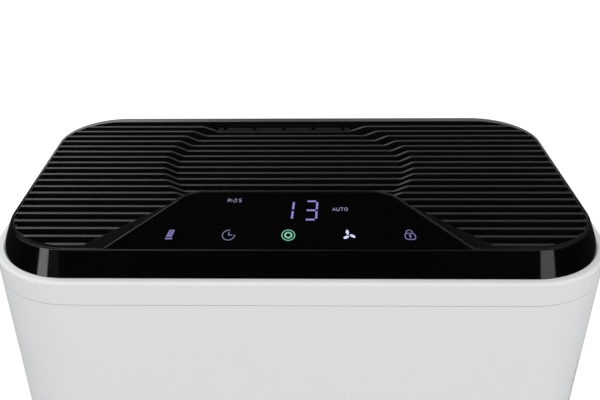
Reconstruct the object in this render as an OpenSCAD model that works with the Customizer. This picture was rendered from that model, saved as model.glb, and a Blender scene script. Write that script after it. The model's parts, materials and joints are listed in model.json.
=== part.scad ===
// Tower air purifier: a light casing on a base tray, a black flared lid with a louvred air outlet,
// a round dish in the louvres and a touch console, over a filter stack and a centrifugal fan.
// +X right, +Y to the back, +Z up. Origin: middle of the footprint, on the floor. Millimetres.

/* [Body] */
// Width of the casing
body_w = 396; // [366:1:446]
// Depth of the casing, front cover included
body_d = 222; // [218:1:246]
// Height from the floor to the lid's top
height = 560; // [550:1:620]
// Radius of the casing's upright corners
corner_r = 57; // [47:1:63]
// Wall of the casing shells
wall = 2.5; // [2:0.1:3]
// Height of the rubber feet
foot_h = 6; // [4:0.5:10]
// Height of the base tray
base_h = 40; // [34:1:44]
// Clear depth between the front cover and the filter bay
cover_room = 14.5; // [13:0.5:19]
// Gap round parts that come apart
gap = 0.4; // [0.3:0.05:0.6]

/* [Lid] */
// Height of the lid's gloss band
lid_h = 16; // [14:0.5:20]
// How far the band flares out from its top to its foot
lid_flare = 7; // [6:0.5:10]
// Casing ledge that shows outside the band
ledge = 5; // [2:0.25:6]
// Width of the top border at the front and back
border = 7; // [6:0.25:10]
// Width of the top border at the sides
side_border = 2.6; // [2.4:0.1:4]
// Thickness of the top border and of the console lens
top_t = 2; // [1.6:0.1:2.4]

/* [Louvres] */
// Distance from one louvre to the next
pitch = 9.2; // [8.8:0.1:9.6]
// Thickness of a louvre blade
blade_t = 2.4; // [1.8:0.1:3]
// Depth of a louvre blade
blade_h = 11; // [9:0.5:12]
// Radius of the dish at its rim
dish_r = 90; // [84:1:92]
// Width of the dish's sloped step
dish_step = 10; // [6:0.5:14]
// Depth of the dish
dish_depth = 4; // [2:0.25:5]
// How far the dish lies behind the middle
dish_y = 20.4; // [16:0.2:24]
// How far the dish and the console lie left of the middle
console_left = 6.5; // [4:0.5:12]

/* [Console] */
// Half of the lens width at the front edge
lens_front = 111.5; // [108:0.5:116]
// Half of the lens width between its rear shoulders, at the corner before rounding
lens_back = 67.5; // [62:0.5:72]
// Depth of the lens, front to back
lens_d = 71; // [68:0.5:73]
// Radius of the lens shoulders
lens_r = 22; // [12:1:28]
// Distance from one touch key to the next
key_pitch = 37.2; // [34:0.2:40]

/* [Filters] */
// Space between the filter bay and each side of the casing
bay_side = 37; // [34:0.5:53]
// Space between the filter bay and the lid's ring
bay_head = 32; // [28:1:60]
// Thickness of the fine filter cassette
filter_t = 34; // [30:0.5:36]
// Thickness of the carbon sheet behind it
carbon_t = 6; // [4:0.5:8]
// Thickness of the washable pre-filter
prefilter_t = 5; // [3.5:0.25:5.5]

/* [Fan] */
// Radius of the fan wheel
wheel_r = 95; // [88:1:97]
// Number of blades on the wheel
wheel_blades = 36; // [24:1:42]
// Radius of the air inlet into the wheel
inlet_r = 76; // [66:1:78]
// Radius of the motor shaft
shaft_r = 4; // [3:0.25:5]
// Clear depth behind the scroll housing, for the motor
motor_room = 60.5; // [55:0.5:65]
// Radius of the motor can
motor_r = 40; // [36:1:44]
// Length of the motor can
motor_l = 40; // [36:1:42]
// Radial running clearance of shafts and pins
run = 0.05; // [0.03:0.01:0.1]

/* [Hidden] */
$fn = 64;
eps = 0.01;
seat = 0.3;

// Levels, from the floor up
base_z = foot_h;
casing_z = foot_h + base_h;
lid_z = height - lid_h;
ring_h = 16;
ring_z = lid_z - ring_h;
bay_rise = 20;
bay_z = casing_z + bay_rise;
bay_h = ring_z - bay_head - bay_z;
bay_w = body_w - 2 * bay_side;
filter_z = bay_z + bay_h / 2;

// Levels, from the front to the back
front_y = -body_d / 2;
back_y = body_d / 2;
plate_t = 3;
plate_top = bay_z + bay_h + wall;
seal_t = 3;
tab_t = 0.7;
tab_gap = 1;
mesh_t = 0.8;
bay_slack = 0.2;
bay_deep = seal_t + seat + carbon_t + filter_t + tab_t + tab_gap + mesh_t + prefilter_t + bay_slack;
plate_y = front_y + wall + cover_room + bay_deep;
plate_step = 1;
join_y = plate_y - plate_step;
bay_front = plate_y - bay_deep;
scroll_y = plate_y + plate_t;
scroll_back_y = back_y - wall - motor_room;
scroll_w = scroll_back_y - scroll_y;

// The lid's outline at its top and foot
lid_w = body_w - 2 * (ledge + lid_flare);
lid_d = body_d - 2 * (ledge + lid_flare);
lid_r = corner_r - ledge - lid_flare;
field_w = lid_w - 2 * side_border;
field_d = lid_d - 2 * border;
field_r = lid_r - side_border + 2;
blade_count = 20;
first_blade_y = field_d / 2 - pitch;
rim_inset = 1.6;

// The console
console_x = -console_left;
lens_front_y = -lid_d / 2 + rim_inset;
lens_back_y = lens_front_y + lens_d;
strip_front = lens_front + 12.5;
strip_meet_y = lens_front_y + 52;
key_y = lens_front_y + 14.7;
box_z = lid_z + seat;
box_floor_t = 1.5;
board_z = box_z + box_floor_t + 2.2;
board_t = 1.6;

// The fan and its scroll
fan_x = -10;
fan_z = filter_z;
scroll_t = 2.5;
tongue_angle = 60;
tongue_r = wheel_r + 8;
mouth_r = tongue_r + 32;
throat_z = fan_z + tongue_r + 9;
wheel_front_gap = 10;
wheel_back_gap = 8;
wheel_y = scroll_y + wheel_front_gap;
wheel_w = scroll_w - wheel_front_gap - wheel_back_gap;
wheel_back = wheel_y + wheel_w;
motor_y = scroll_back_y;
bearing_r = 11;
bearing_w = 7;

// Grips, sensor and mains inlet
grip_h = 28;
grip_deep = 22;
grip_wall = 2;
grip_rim = 3;
grip_front = scroll_y + 2 * grip_rim;
grip_back = back_y - corner_r - 4;
grip_l = grip_back - grip_front;
grip_y = (grip_front + grip_back) / 2;
grip_drop = 46;
grip_z = ring_z - grip_drop;
door_w = 44;
door_h = 40;
door_y = back_y - corner_r - 2 - door_w / 2;
door_drop = 62;
door_z = grip_z - door_drop;
door_pin_r = 0.9;
inlet_in = 88;
inlet_x = body_w / 2 - inlet_in;
inlet_rise = 36;
inlet_z = casing_z + inlet_rise;
inlet_w = 17;
inlet_h = 9;
inlet_deep = 14;

// ---- shared shapes ----

module round_rect(w, d, r) {
    square([w - 2 * r, d], center = true);
    square([w, d - 2 * r], center = true);
    for (sx = [-1, 1], sy = [-1, 1])
        translate([sx * (w / 2 - r), sy * (d / 2 - r)]) circle(r);
}

// A profile carried round a rounded rectangle: its x is the way out from the outline, its y is up
module round_sweep(w, d, r) {
    for (a = [0, 90, 180, 270]) {
        sx = (a == 0 || a == 270) ? 1 : -1;
        sy = (a == 0 || a == 90) ? 1 : -1;
        translate([sx * (w / 2 - r), sy * (d / 2 - r), 0]) rotate([0, 0, a])
            rotate_extrude(angle = 90) translate([r, 0]) children();
    }
    for (s = [0, 180]) rotate([0, 0, s]) {
        translate([w / 2, d / 2 - r, 0]) rotate([90, 0, 0]) linear_extrude(d - 2 * r) children();
        translate([-(w / 2 - r), d / 2, 0]) rotate([90, 0, 90])
            linear_extrude(w - 2 * r) children();
    }
}

// Points of an arc, from angle a to angle b in steps
function arc(x, y, r, a, b, n) =
    [for (i = [0:n]) let (t = a + (b - a) * i / n) [x + r * cos(t), y + r * sin(t)]];

module along_y(y0, len) { translate([0, y0 + len, 0]) rotate([90, 0, 0]) linear_extrude(len) children(); }
module rod_y(x, z, r, y0, len) { translate([x, y0, z]) rotate([-90, 0, 0]) cylinder(r = r, h = len); }
module block(x0, x1, y0, y1, z0, z1) { translate([x0, y0, z0]) cube([x1 - x0, y1 - y0, z1 - z0]); }
module casing_shell(z0, h, inset) {
    translate([0, 0, z0]) linear_extrude(h) difference() {
        round_rect(body_w - 2 * inset, body_d - 2 * inset, corner_r - inset);
        round_rect(body_w - 2 * (inset + wall), body_d - 2 * (inset + wall), corner_r - inset - wall);
    }
}

// ---- base ----

foot_r = 13;
foot_stem_r = 4;
foot_stem_l = 8;
foot_in_x = 46;
foot_in_y = 34;
foot_x = body_w / 2 - foot_in_x;
foot_y = body_d / 2 - foot_in_y;
plinth_inset = 4;
plinth_h = 8;
floor_t = 3;
screw_in = 63;
screw_x = body_w / 2 - screw_in;
post_w = 30;
module at_feet() { for (sx = [-1, 1], sy = [-1, 1]) translate([sx * foot_x, sy * foot_y, 0]) children(); }

module base_tray() {
    color("gainsboro") difference() {
        union() {
            translate([0, 0, base_z]) linear_extrude(floor_t)
                round_rect(body_w - 2 * plinth_inset, body_d - 2 * plinth_inset, corner_r - plinth_inset);
            casing_shell(base_z, plinth_h, plinth_inset);
            translate([0, 0, base_z + plinth_h]) linear_extrude(wall) difference() {
                round_rect(body_w, body_d, corner_r);
                round_rect(body_w - 2 * (plinth_inset + wall), body_d - 2 * (plinth_inset + wall),
                           corner_r - plinth_inset - wall);
            }
            casing_shell(base_z + plinth_h, base_h - plinth_h, 0);
            at_feet() translate([0, 0, base_z + floor_t - eps]) cylinder(r = foot_stem_r + 4, h = 6);
            for (sx = [-1, 1]) translate([sx * screw_x - post_w / 2, plate_y - 3, base_z + floor_t - eps])
                cube([post_w, plate_t + 6, casing_z - base_z - floor_t + eps]);
        }
        at_feet() translate([0, 0, base_z - 1]) cylinder(r = foot_stem_r + run, h = foot_stem_l + floor_t);
    }
}

module rubber_feet() {
    color("dimgray") at_feet() {
        cylinder(r1 = foot_r - 1, r2 = foot_r, h = 1);
        translate([0, 0, 1]) cylinder(r = foot_r, h = foot_h - 1);
        translate([0, 0, foot_h - eps]) cylinder(r = foot_stem_r, h = foot_stem_l);
    }
}

// ---- casing ----

ledge_t = 2.5;
ledge_in = 19;
edge_r = 2;
screw_r = 2;
screw_boss_r = 5;
boss_l = 12;
screw_l = 20;
head_r = 3.8;
head_t = 2.4;
head_seat = 2;
screw_rise = 60;
screw_drop = 40;
screw_zs = [casing_z + screw_rise, fan_z + screw_rise, ring_z - screw_drop];
module at_casing_screws() { for (sx = [-1, 1], z = screw_zs) translate([sx * screw_x, 0, z]) children(); }

module ring_profile() {
    translate([-wall, 0]) square([wall, ring_h - edge_r]);
    translate([-wall, 0]) square([wall - edge_r + eps, ring_h]);
    intersection() {
        translate([-edge_r, ring_h - edge_r]) circle(edge_r);
        translate([-edge_r, ring_h - edge_r]) square(edge_r);
    }
    translate([-ledge_in, ring_h - ledge_t]) square([ledge_in - edge_r + eps, ledge_t]);
}

module grip_hole(side) {
    block(side * body_w / 2 - 8, side * body_w / 2 + 8, grip_y - grip_l / 2, grip_y + grip_l / 2,
          grip_z - grip_h / 2, grip_z + grip_h / 2);
}

module rear_casing() {
    color("gainsboro") difference() {
        union() {
            difference() {
                casing_shell(casing_z, ring_z - casing_z + eps, 0);
                block(-body_w, body_w, -body_d, join_y, casing_z - 1, ring_z);
            }
            translate([0, 0, ring_z]) round_sweep(body_w, body_d, corner_r) ring_profile();
            at_casing_screws() rod_y(0, 0, screw_boss_r, back_y - wall - boss_l, boss_l + eps);
        }
        at_casing_screws() {
            rod_y(0, 0, screw_r + 0.3, back_y - 2 * screw_l, 3 * screw_l);
            rod_y(0, 0, head_r + gap, back_y - wall - head_seat, screw_l);
        }
        grip_hole(-1);
        grip_hole(1);
        block(body_w / 2 - 8, body_w / 2 + 8, door_y - door_w / 2 - gap, door_y + door_w / 2 + gap,
              door_z - door_h / 2 - gap, door_z + door_h / 2 + gap);
        translate([body_w / 2 - wall / 2, door_y - door_w / 2 - 4, door_z - door_h / 2 + wall / 2])
            rotate([-90, 0, 0]) cylinder(r = door_pin_r + run, h = door_w + 8);
        block(inlet_x - inlet_w / 2 - 3.2, inlet_x + inlet_w / 2 + 3.2, back_y - 8, back_y + 8,
              inlet_z - inlet_h / 2 - 3.2, inlet_z + inlet_h / 2 + 3.2);
        translate([0, 0, lid_screw_z - 1]) at_lid_screws() cylinder(r = screw_r + 0.3, h = 2 * ledge_t);
    }
}

module casing_screws() {
    color("silver") at_casing_screws() {
        rod_y(0, 0, head_r, back_y - wall - head_seat, head_t);
        rod_y(0, 0, screw_r, back_y - wall - head_seat - screw_l, screw_l + eps);
    }
}

lid_screw_z = lid_z - ledge_t;
lid_screw_in = 14;
lid_screw_l = 6.5;
lid_boss_r = 4.5;
module at_lid_screws() {
    for (x = [-body_w / 4, body_w / 4], sy = [-1, 1])
        translate([x, sy * (body_d / 2 - lid_screw_in), 0]) children();
}
module lid_screws() {
    color("silver") translate([0, 0, lid_screw_z]) at_lid_screws() {
        translate([0, 0, -2.2]) cylinder(r = 3.6, h = 2.2);
        translate([0, 0, -eps]) cylinder(r = screw_r, h = lid_screw_l);
    }
}

// A cup let into each side for the fingers
module grip(side) {
    x_in = body_w / 2 - grip_deep;
    color("lightgray") difference() {
        union() {
            block(side > 0 ? x_in : -body_w / 2 + gap, side > 0 ? body_w / 2 - gap : -x_in,
                  grip_y - grip_l / 2 + seat, grip_y + grip_l / 2 - seat,
                  grip_z - grip_h / 2 + seat, grip_z + grip_h / 2 - seat);
            block(side > 0 ? x_in + 4 : -body_w / 2 + wall, side > 0 ? body_w / 2 - wall : -x_in - 4,
                  grip_y - grip_l / 2 - grip_rim, grip_y + grip_l / 2 + grip_rim,
                  grip_z - grip_h / 2 - grip_rim, grip_z + grip_h / 2 + grip_rim);
        }
        block(side > 0 ? x_in + grip_wall : -body_w / 2 - 4, side > 0 ? body_w / 2 + 4 : -x_in - grip_wall,
              grip_y - grip_l / 2 + grip_wall, grip_y + grip_l / 2 - grip_wall,
              grip_z - grip_h / 2 + grip_wall, grip_z + grip_h / 2 - grip_wall);
    }
}

// ---- front cover ----

slot_h = 4;
slot_pitch = 9;
slot_margin = 57;
slot_l = 40;
slot_in = 35;
slot_join = 6;
slot_count = floor((bay_h - slot_margin) / slot_pitch) + 1;
slot_z = filter_z - (slot_count - 1) * slot_pitch / 2;
tongue_rise = 74;
tongue_drop = 58;
tongue_zs = [casing_z + tongue_rise, grip_z - tongue_drop];
tongue_h = 30;
tongue_t = 2.6;
catch_x = 120;
catch_zs = [bay_z - wall - 8, plate_top + 8];
catch_y = bay_front;
catch_t = 1.5;
magnet_r = 6;
magnet_t = 3;
magnet_y = catch_y - catch_t - seat - magnet_t;
module at_catches() { for (sx = [-1, 1], z = catch_zs) translate([sx * catch_x, 0, z]) children(); }

module front_cover() {
    color("gainsboro") difference() {
        union() {
            difference() {
                casing_shell(casing_z + gap, ring_z - casing_z - 2 * gap, 0);
                block(-body_w, body_w, join_y - gap, body_d, 0, height);
            }
            for (sx = [-1, 1], z = tongue_zs)
                translate([sx * (body_w / 2 - wall - seat - tongue_t / 2), (join_y - gap) - 2, z])
                    cube([tongue_t, 20, tongue_h], center = true);
            for (sx = [-1, 1], z = tongue_zs)
                translate([sx * (body_w / 2 - wall - 1), join_y - gap - 7, z])
                    cube([4, 10, tongue_h], center = true);
            at_catches() rod_y(0, 0, magnet_r + 2.5, front_y + wall - eps,
                               magnet_y - front_y - wall + eps);
        }
        for (sx = [-1, 1], i = [0:slot_count - 1])
            translate([sx * body_w / 2, join_y - slot_join - slot_l / 2, slot_z + i * slot_pitch])
                cube([2 * slot_in, slot_l, slot_h], center = true);
    }
}

module cover_magnets() {
    color("gray") at_catches() rod_y(0, 0, magnet_r, magnet_y, magnet_t);
}
module catch_plates() {
    color("silver") at_catches() rod_y(0, 0, magnet_r + 1, catch_y - catch_t, catch_t);
}

// ---- lid ----

band_t = 2.6;
band_round = 1.2;
rest_w = 0.6;
module band_profile() {
    polygon(concat(
        [[lid_flare - band_t, 0], [lid_flare, 0]],
        arc(-band_round, lid_h - band_round, band_round, 20, 90, 6),
        [[-rim_inset, lid_h], [-rim_inset, lid_h - top_t], [-rim_inset - rest_w, lid_h - top_t],
         [-rim_inset - rest_w, lid_h - top_t - 5]]));
}
module lid_band() {
    color("black") {
        difference() {
            union() {
                translate([0, 0, lid_z]) round_sweep(lid_w, lid_d, lid_r) band_profile();
                translate([0, 0, lid_z]) at_lid_screws()
                    cylinder(r = lid_boss_r, h = lid_screw_l - ledge_t + 0.5);
            }
            translate([0, 0, lid_z - 1]) at_lid_screws() cylinder(r = screw_r + run, h = lid_h / 2);
        }
    }
}

// Half-length of the louvre field at a given y, inside its rounded corners
function field_x(y) = abs(y) < field_d / 2 - field_r ? field_w / 2 :
    field_w / 2 - field_r + sqrt(max(0, pow(field_r, 2) - pow(abs(y) - field_d / 2 + field_r, 2)));
// Half-length of the dish's circle of radius r at a given y
function dish_x(y, r) = sqrt(max(0, r * r - pow(y - dish_y, 2)));
// Half-width of the console strip at a given y, from the front edge to where it meets the lens
function strip_x(y) = strip_front + (lens_side(strip_meet_y) + 1 - strip_front) *
    (y + field_d / 2) / (strip_meet_y + field_d / 2);
// Half-width of the lens along its straight side
function lens_side(y) = lens_front + (lens_back - lens_front) * (y - lens_front_y) / lens_d;

lens_slope = atan2(lens_d, lens_front - lens_back);
lens_turn = lens_slope;
shoulder = lens_r * tan(lens_turn / 2);
function lens_outline(grow) =
    let (cx = lens_back - shoulder, cy = lens_back_y - lens_r)
    concat([[-lens_front - grow, lens_front_y], [lens_front + grow, lens_front_y]],
           arc(cx, cy, lens_r + grow, 90 - lens_turn, 90, 10),
           arc(-cx, cy, lens_r + grow, 90, 90 + lens_turn, 10));
module lens_shape(grow) { translate([console_x, 0]) polygon(lens_outline(grow)); }

module strip_shape() {
    translate([console_x, 0]) polygon([
        [-strip_front, -field_d / 2 - eps], [strip_front, -field_d / 2 - eps],
        [lens_side(strip_meet_y) + 1, strip_meet_y], [-lens_side(strip_meet_y) - 1, strip_meet_y]
    ]);
}

// How deep the dish is at a point between its rim and its floor
function dish_z(x, xo, xi) = -dish_depth * max(0, min(1, (xo - abs(x - console_x)) / (xo - xi)));
// Upright blade along X at one y: its top edge steps down into the dish
module blade(y, x0, x1) {
    xo = dish_x(y, dish_r);
    xi = dish_x(y, dish_r - dish_step);
    turns = xo == 0 ? [] :
        [for (b = [xo, xi, -xi, -xo]) if (console_x + b < x1 && console_x + b > x0) console_x + b];
    translate([0, y + blade_t / 2, 0]) rotate([90, 0, 0]) linear_extrude(blade_t)
        polygon(concat([[x0, -blade_h], [x1, -blade_h]],
                       [for (x = concat([x1], turns, [x0])) [x, xo == 0 ? 0 : dish_z(x, xo, xi)]]));
}

// Where the console cuts a blade short; 0 behind the lens
function cut_x(y) = y > lens_back_y + 1 ? 0 :
    y > lens_back_y - lens_r * (1 - cos(lens_turn)) ?
        lens_back - shoulder + sqrt(max(0, pow(lens_r + 1, 2) - pow(y - lens_back_y + lens_r, 2))) :
    y > strip_meet_y ? lens_side(y) + 1.2 : strip_x(y) - 0.4;

notch_pitch = 24;
notch_w = 3;
sill_d = 8.4;
rib_pitch = 46;
rib_t = 1.8;
rib_h = 3.5;
lens_gap = 0.15;
pocket_t = 1.05;
module lid_outline() { round_rect(lid_w - 2 * rim_inset, lid_d - 2 * rim_inset, lid_r - rim_inset); }
skirt_t = 1;
skirt_lap = 0.15;
module field_shape(grow) { round_rect(field_w + 2 * grow, field_d + 2 * grow, field_r + grow); }
module blades() {
    for (k = [0:blade_count - 2]) {
        y = first_blade_y - k * pitch;
        end = field_x(y) + 3;
        stop = cut_x(y);
        if (stop == 0) blade(y, -end, end);
        else {
            blade(y, -end, console_x - stop);
            blade(y, console_x + stop, end);
        }
    }
}
module top_grille() {
    color("#101010") translate([0, 0, height]) {
        // border and console strips
        translate([0, 0, -top_t]) linear_extrude(top_t) difference() {
            union() {
                difference() {
                    lid_outline();
                    field_shape(0);
                }
                strip_shape();
                intersection() {
                    lens_shape(lens_gap + pocket_t);
                    lid_outline();
                }
            }
            lens_shape(lens_gap);
        }
        // skirt round the opening and wall of the console's pocket, which the blades end in
        translate([0, 0, -blade_h]) linear_extrude(blade_h - top_t + eps) {
            difference() {
                field_shape(skirt_lap);
                field_shape(skirt_lap - skirt_t);
                lens_shape(lens_gap);
            }
            intersection() {
                difference() {
                    lens_shape(lens_gap + pocket_t);
                    lens_shape(lens_gap);
                }
                field_shape(skirt_lap);
            }
        }
        intersection() {
            blades();
            translate([0, 0, -blade_h - 1]) linear_extrude(blade_h + 2) field_shape(skirt_lap);
        }
        // broad sill at the back of the dish, with five notches in its rear edge
        xi = dish_x(first_blade_y, dish_r - dish_step) + 4;
        translate([console_x, first_blade_y - blade_t, -dish_depth - 2]) linear_extrude(2) difference() {
            translate([-xi, 0]) square([2 * xi, sill_d]);
            for (i = [-2:2]) translate([i * notch_pitch - notch_w / 2, sill_d / 2]) square([notch_w, sill_d]);
        }
        // ribs under the blades, clear of the console box
        for (i = [-3:3]) {
            x = console_x + i * rib_pitch;
            reach = field_d / 2 - max(0, abs(x) - field_w / 2 + field_r) * 0.5;
            front = abs(i) <= 1 ? lens_back_y + 0.5 : abs(i) == 2 ? strip_meet_y + 14 : -reach;
            translate([x - rib_t / 2, front, -blade_h]) cube([rib_t, reach - front, rib_h]);
        }
    }
}

module console_lens() {
    color("black") translate([0, 0, height - top_t]) linear_extrude(top_t) lens_shape(0);
}

// Open box that hangs under the lens and holds the board
box_wall = 1.6;
module box_outline(inset) {
    intersection() {
        lens_shape(-inset);
        translate([0, 2.4 + inset])
            round_rect(lid_w - 2 * band_t - 4, lid_d - 2 * band_t - 4, lid_r - band_t);
    }
}
module console_box() {
    color("#202020") difference() {
        translate([0, 0, box_z]) linear_extrude(height - top_t - box_z) box_outline(0.4);
        translate([0, 0, box_z + box_floor_t]) linear_extrude(lid_h) box_outline(0.4 + box_wall);
        translate([loom_path[0][0], loom_path[0][1], box_z - 1]) cylinder(r = loom_r + 1, h = 5);
    }
}

board_d = 57;
stand_r = 3;
module control_board() {
    color("darkgreen") {
        translate([0, 0, board_z]) linear_extrude(board_t) intersection() {
            box_outline(0.4 + box_wall + 2);
            translate([-body_w, lens_front_y]) square([2 * body_w, board_d + 8]);
        }
        for (p = [[-88, 14], [88, 14], [-50, 56], [50, 56]])
            translate([console_x + p[0], lens_front_y + p[1], box_z + box_floor_t])
                cylinder(r = stand_r, h = board_z - box_z - box_floor_t + eps);
    }
}

digit_w = 26;
digit_d = 28;
digit_x = console_x + 10;
module digit_display() {
    color("black") translate([digit_x - digit_w / 2, lens_front_y + 46 - digit_d / 2, board_z + board_t])
        cube([digit_w, digit_d, height - top_t - board_z - board_t - seat]);
}

module at_keys() { for (i = [-2:2]) translate([console_x + i * key_pitch, key_y, 0]) children(); }
module touch_pads() {
    color("#303030") translate([0, 0, board_z + board_t]) at_keys()
        difference() {
            cylinder(r = 7, h = height - top_t - board_z - board_t - seat);
            translate([0, 0, -1]) cylinder(r = 4.5, h = lid_h);
        }
}
module key_leds() {
    color("white") translate([0, 0, board_z + board_t]) at_keys() translate([-1.5, -1, 0]) cube([3, 2, 1]);
}

// ---- filter bay and filters ----

module plate_outline() {
    difference() {
        translate([-(body_w / 2 - wall - seat), casing_z])
            square([body_w - 2 * wall - 2 * seat, plate_top - casing_z]);
        for (sx = [-1, 1], z = tongue_zs)
            translate([sx * (body_w / 2 - wall - 2), z]) square([9, tongue_h + 2], center = true);
        translate([fan_x, fan_z]) circle(inlet_r + guard_rim);
    }
}

module filter_bay() {
    color("whitesmoke") difference() {
        union() {
            along_y(plate_y, plate_t) plate_outline();
            along_y(bay_front, bay_deep + eps) difference() {
                translate([-bay_w / 2 - wall, bay_z - wall]) square([bay_w + 2 * wall, bay_h + 2 * wall]);
                translate([-bay_w / 2, bay_z]) square([bay_w, bay_h]);
            }
            at_catches() translate([0, bay_front + 9, 0])
                cube([2 * magnet_r + 6, 18, 16 + 2 * eps], center = true);
            at_casing_screws() rod_y(0, 0, screw_boss_r, scroll_y - eps,
                                     back_y - wall - boss_l - seat - scroll_y + eps);
        }
        at_casing_screws() rod_y(0, 0, screw_r + run, back_y - wall - screw_l - 4, screw_l);
    }
}

seal_w = 8;
module bay_seal() {
    color("dimgray") along_y(plate_y - seal_t, seal_t) difference() {
        translate([-bay_w / 2 + 1, bay_z + 1]) square([bay_w - 2, bay_h - 2]);
        translate([-bay_w / 2 + 1 + seal_w, bay_z + 1 + seal_w])
            square([bay_w - 2 - 2 * seal_w, bay_h - 2 - 2 * seal_w]);
    }
}

fit = 1;
filter_w = bay_w - 2 * fit;
filter_h = bay_h - 2 * fit;
filter_y = plate_y - seal_t - seat - carbon_t - filter_t;
filter_mid = bay_z + seat + filter_h / 2;
card_t = 3;
module ring_xz(w, h, t) {
    translate([0, filter_mid]) difference() {
        square([w, h], center = true);
        square([w - 2 * t, h - 2 * t], center = true);
    }
}
module filter_frame() {
    color("white") {
        along_y(filter_y, filter_t + carbon_t) ring_xz(filter_w, filter_h, card_t);
        along_y(filter_y, 1) ring_xz(filter_w, filter_h, card_t + 7);
    }
}

pleat_count = 40;
pleat_t = 0.8;
module filter_pleats() {
    span = filter_w - 2 * card_t - 0.4;
    step = span / (2 * pleat_count);
    y0 = filter_y + 1.2;
    y1 = filter_y + filter_t - 0.2 - pleat_t;
    zig = [for (i = [0:2 * pleat_count]) [-span / 2 + i * step, i % 2 == 0 ? y0 : y1]];
    color("ivory") translate([0, 0, filter_mid - filter_h / 2 + card_t + 0.2])
        linear_extrude(filter_h - 2 * card_t - 0.4)
        polygon(concat(zig, [for (i = [2 * pleat_count:-1:0]) zig[i] + [0, pleat_t]]));
}

module carbon_sheet() {
    color("#202020") along_y(filter_y + filter_t, carbon_t) translate([0, filter_mid])
        square([filter_w - 2 * card_t - 0.4, filter_h - 2 * card_t - 0.4], center = true);
}

tab_w = 26;
tab_l = 60;
module pull_tabs() {
    color("steelblue") for (sx = [-1, 1])
        translate([sx * filter_w / 4 - tab_w / 2, filter_y - tab_t, filter_mid + filter_h / 2 - tab_l])
            cube([tab_w, tab_t, tab_l - 2]);
}

mesh_y = filter_y - tab_t - tab_gap - mesh_t;
prefilter_y = mesh_y - prefilter_t;
pre_rim = 8;
lattice_t = 4;
lattice_w = (filter_w - 2 * pre_rim + lattice_t) / 4;
lattice_h = (filter_h - 2 * pre_rim + lattice_t) / 6;
module pre_filter_frame() {
    color("gray") {
        along_y(prefilter_y, prefilter_t) translate([0, filter_mid]) difference() {
            square([filter_w, filter_h], center = true);
            for (i = [-1.5:1.5], j = [-2.5:2.5]) translate([i * lattice_w, j * lattice_h])
                square([lattice_w - lattice_t, lattice_h - lattice_t], center = true);
        }
        for (sx = [-1, 1])
            translate([sx * filter_w / 4, prefilter_y - 2.5 + eps, filter_mid + filter_h / 2 - 5])
                cube([28, 5, 3], center = true);
    }
}
module pre_filter_mesh() {
    color("darkgray") along_y(mesh_y, mesh_t) translate([0, filter_mid])
        square([filter_w - 4, filter_h - 4], center = true);
}

// ---- fan ----

guard_rim = 12;
module inlet_guard() {
    color("#303030") along_y(plate_y + 0.2, plate_t - 0.2) translate([fan_x, fan_z]) {
        for (r = [20, 38, 56]) difference() { circle(r); circle(r - 1.6); }
        difference() { circle(inlet_r + guard_rim - seat); circle(inlet_r - 2); }
        circle(7);
        for (a = [0:60:300]) rotate([0, 0, a]) translate([5, -0.9]) square([inlet_r - 5, 1.8]);
    }
}

function scroll_r(a) = tongue_r + (mouth_r - tongue_r) * (a - tongue_angle) / (360 - tongue_angle);
function scroll_points(grow) = concat(
    [for (i = [0:50]) let (a = tongue_angle + (360 - tongue_angle) * i / 50, r = scroll_r(a) + grow)
        [fan_x + r * cos(a), fan_z + r * sin(a)]],
    [[fan_x + mouth_r + grow, throat_z],
     [fan_x + (tongue_r + grow) * cos(tongue_angle) - 2 * grow, throat_z]]);
flange = 6;
module scroll_wall() {
    difference() {
        polygon(scroll_points(scroll_t));
        polygon(scroll_points(0));
        translate([fan_x + tongue_r * cos(tongue_angle) + eps, throat_z - 1])
            square([mouth_r - tongue_r * cos(tongue_angle) - 2 * eps, 10]);
    }
}

module scroll_front() {
    color("#303030") {
        along_y(scroll_y, scroll_t) difference() {
            polygon(scroll_points(scroll_t));
            translate([fan_x, fan_z]) circle(inlet_r);
        }
        along_y(scroll_y, scroll_w / 2 - 0.1) scroll_wall();
        along_y(scroll_y, 12) translate([fan_x, fan_z]) difference() { circle(inlet_r + 2); circle(inlet_r); }
    }
}

bolt_out = 8;
motor_bolt_r = motor_r + bolt_out;
bolt_angles = [30, 150, 270];
module at_motor_bolts() {
    for (a = bolt_angles)
        translate([fan_x, 0, fan_z]) rotate([0, -a, 0]) translate([motor_bolt_r, 0, 0]) children();
}
module scroll_back() {
    color("#303030") difference() {
        union() {
            along_y(scroll_back_y - scroll_t, scroll_t) polygon(scroll_points(scroll_t));
            along_y(scroll_y + scroll_w / 2, scroll_w / 2) scroll_wall();
        }
        rod_y(fan_x, fan_z, bearing_r + 5, scroll_back_y - 10, 20);
        at_motor_bolts() rod_y(0, 0, screw_r + 0.3, scroll_back_y - 10, 20);
    }
}

// Duct in two stages: a chimney that widens sideways, then a wide pan under the whole louvre field
duct_t = 2;
lap = 1;
pan_z = plate_top + 1.5;
pan_top = lid_z - ledge_t;
chimney_l = -112;
mouth_l = fan_x + tongue_r * cos(tongue_angle);
mouth_x = fan_x + mouth_r;
module duct_slab(x0, x1, inset, z, h) {
    block(x0 - scroll_t + inset, x1 + scroll_t - inset, scroll_y + inset, scroll_back_y - inset, z, z + h);
}
module duct_form(inset) {
    over = inset > 0 ? 1 : 0;
    hull() {
        duct_slab(mouth_l, mouth_x, inset, throat_z - over, 2);
        duct_slab(chimney_l, mouth_x, inset, pan_z - 2, 3);
    }
    hull() {
        duct_slab(chimney_l, mouth_x, inset, pan_z, 1);
        translate([0, 0, pan_top - 1]) linear_extrude(1 + over) round_rect(
            body_w - 2 * (ledge_in - lap + inset), body_d - 2 * (ledge_in - lap + inset),
            corner_r - ledge_in + lap - inset);
    }
}
module outlet_duct() {
    color("#252525") difference() {
        duct_form(0);
        duct_form(duct_t);
        translate([loom_path[0][0], loom_path[0][1], pan_z]) cylinder(r = loom_r + 1, h = 60);
    }
}

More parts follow.
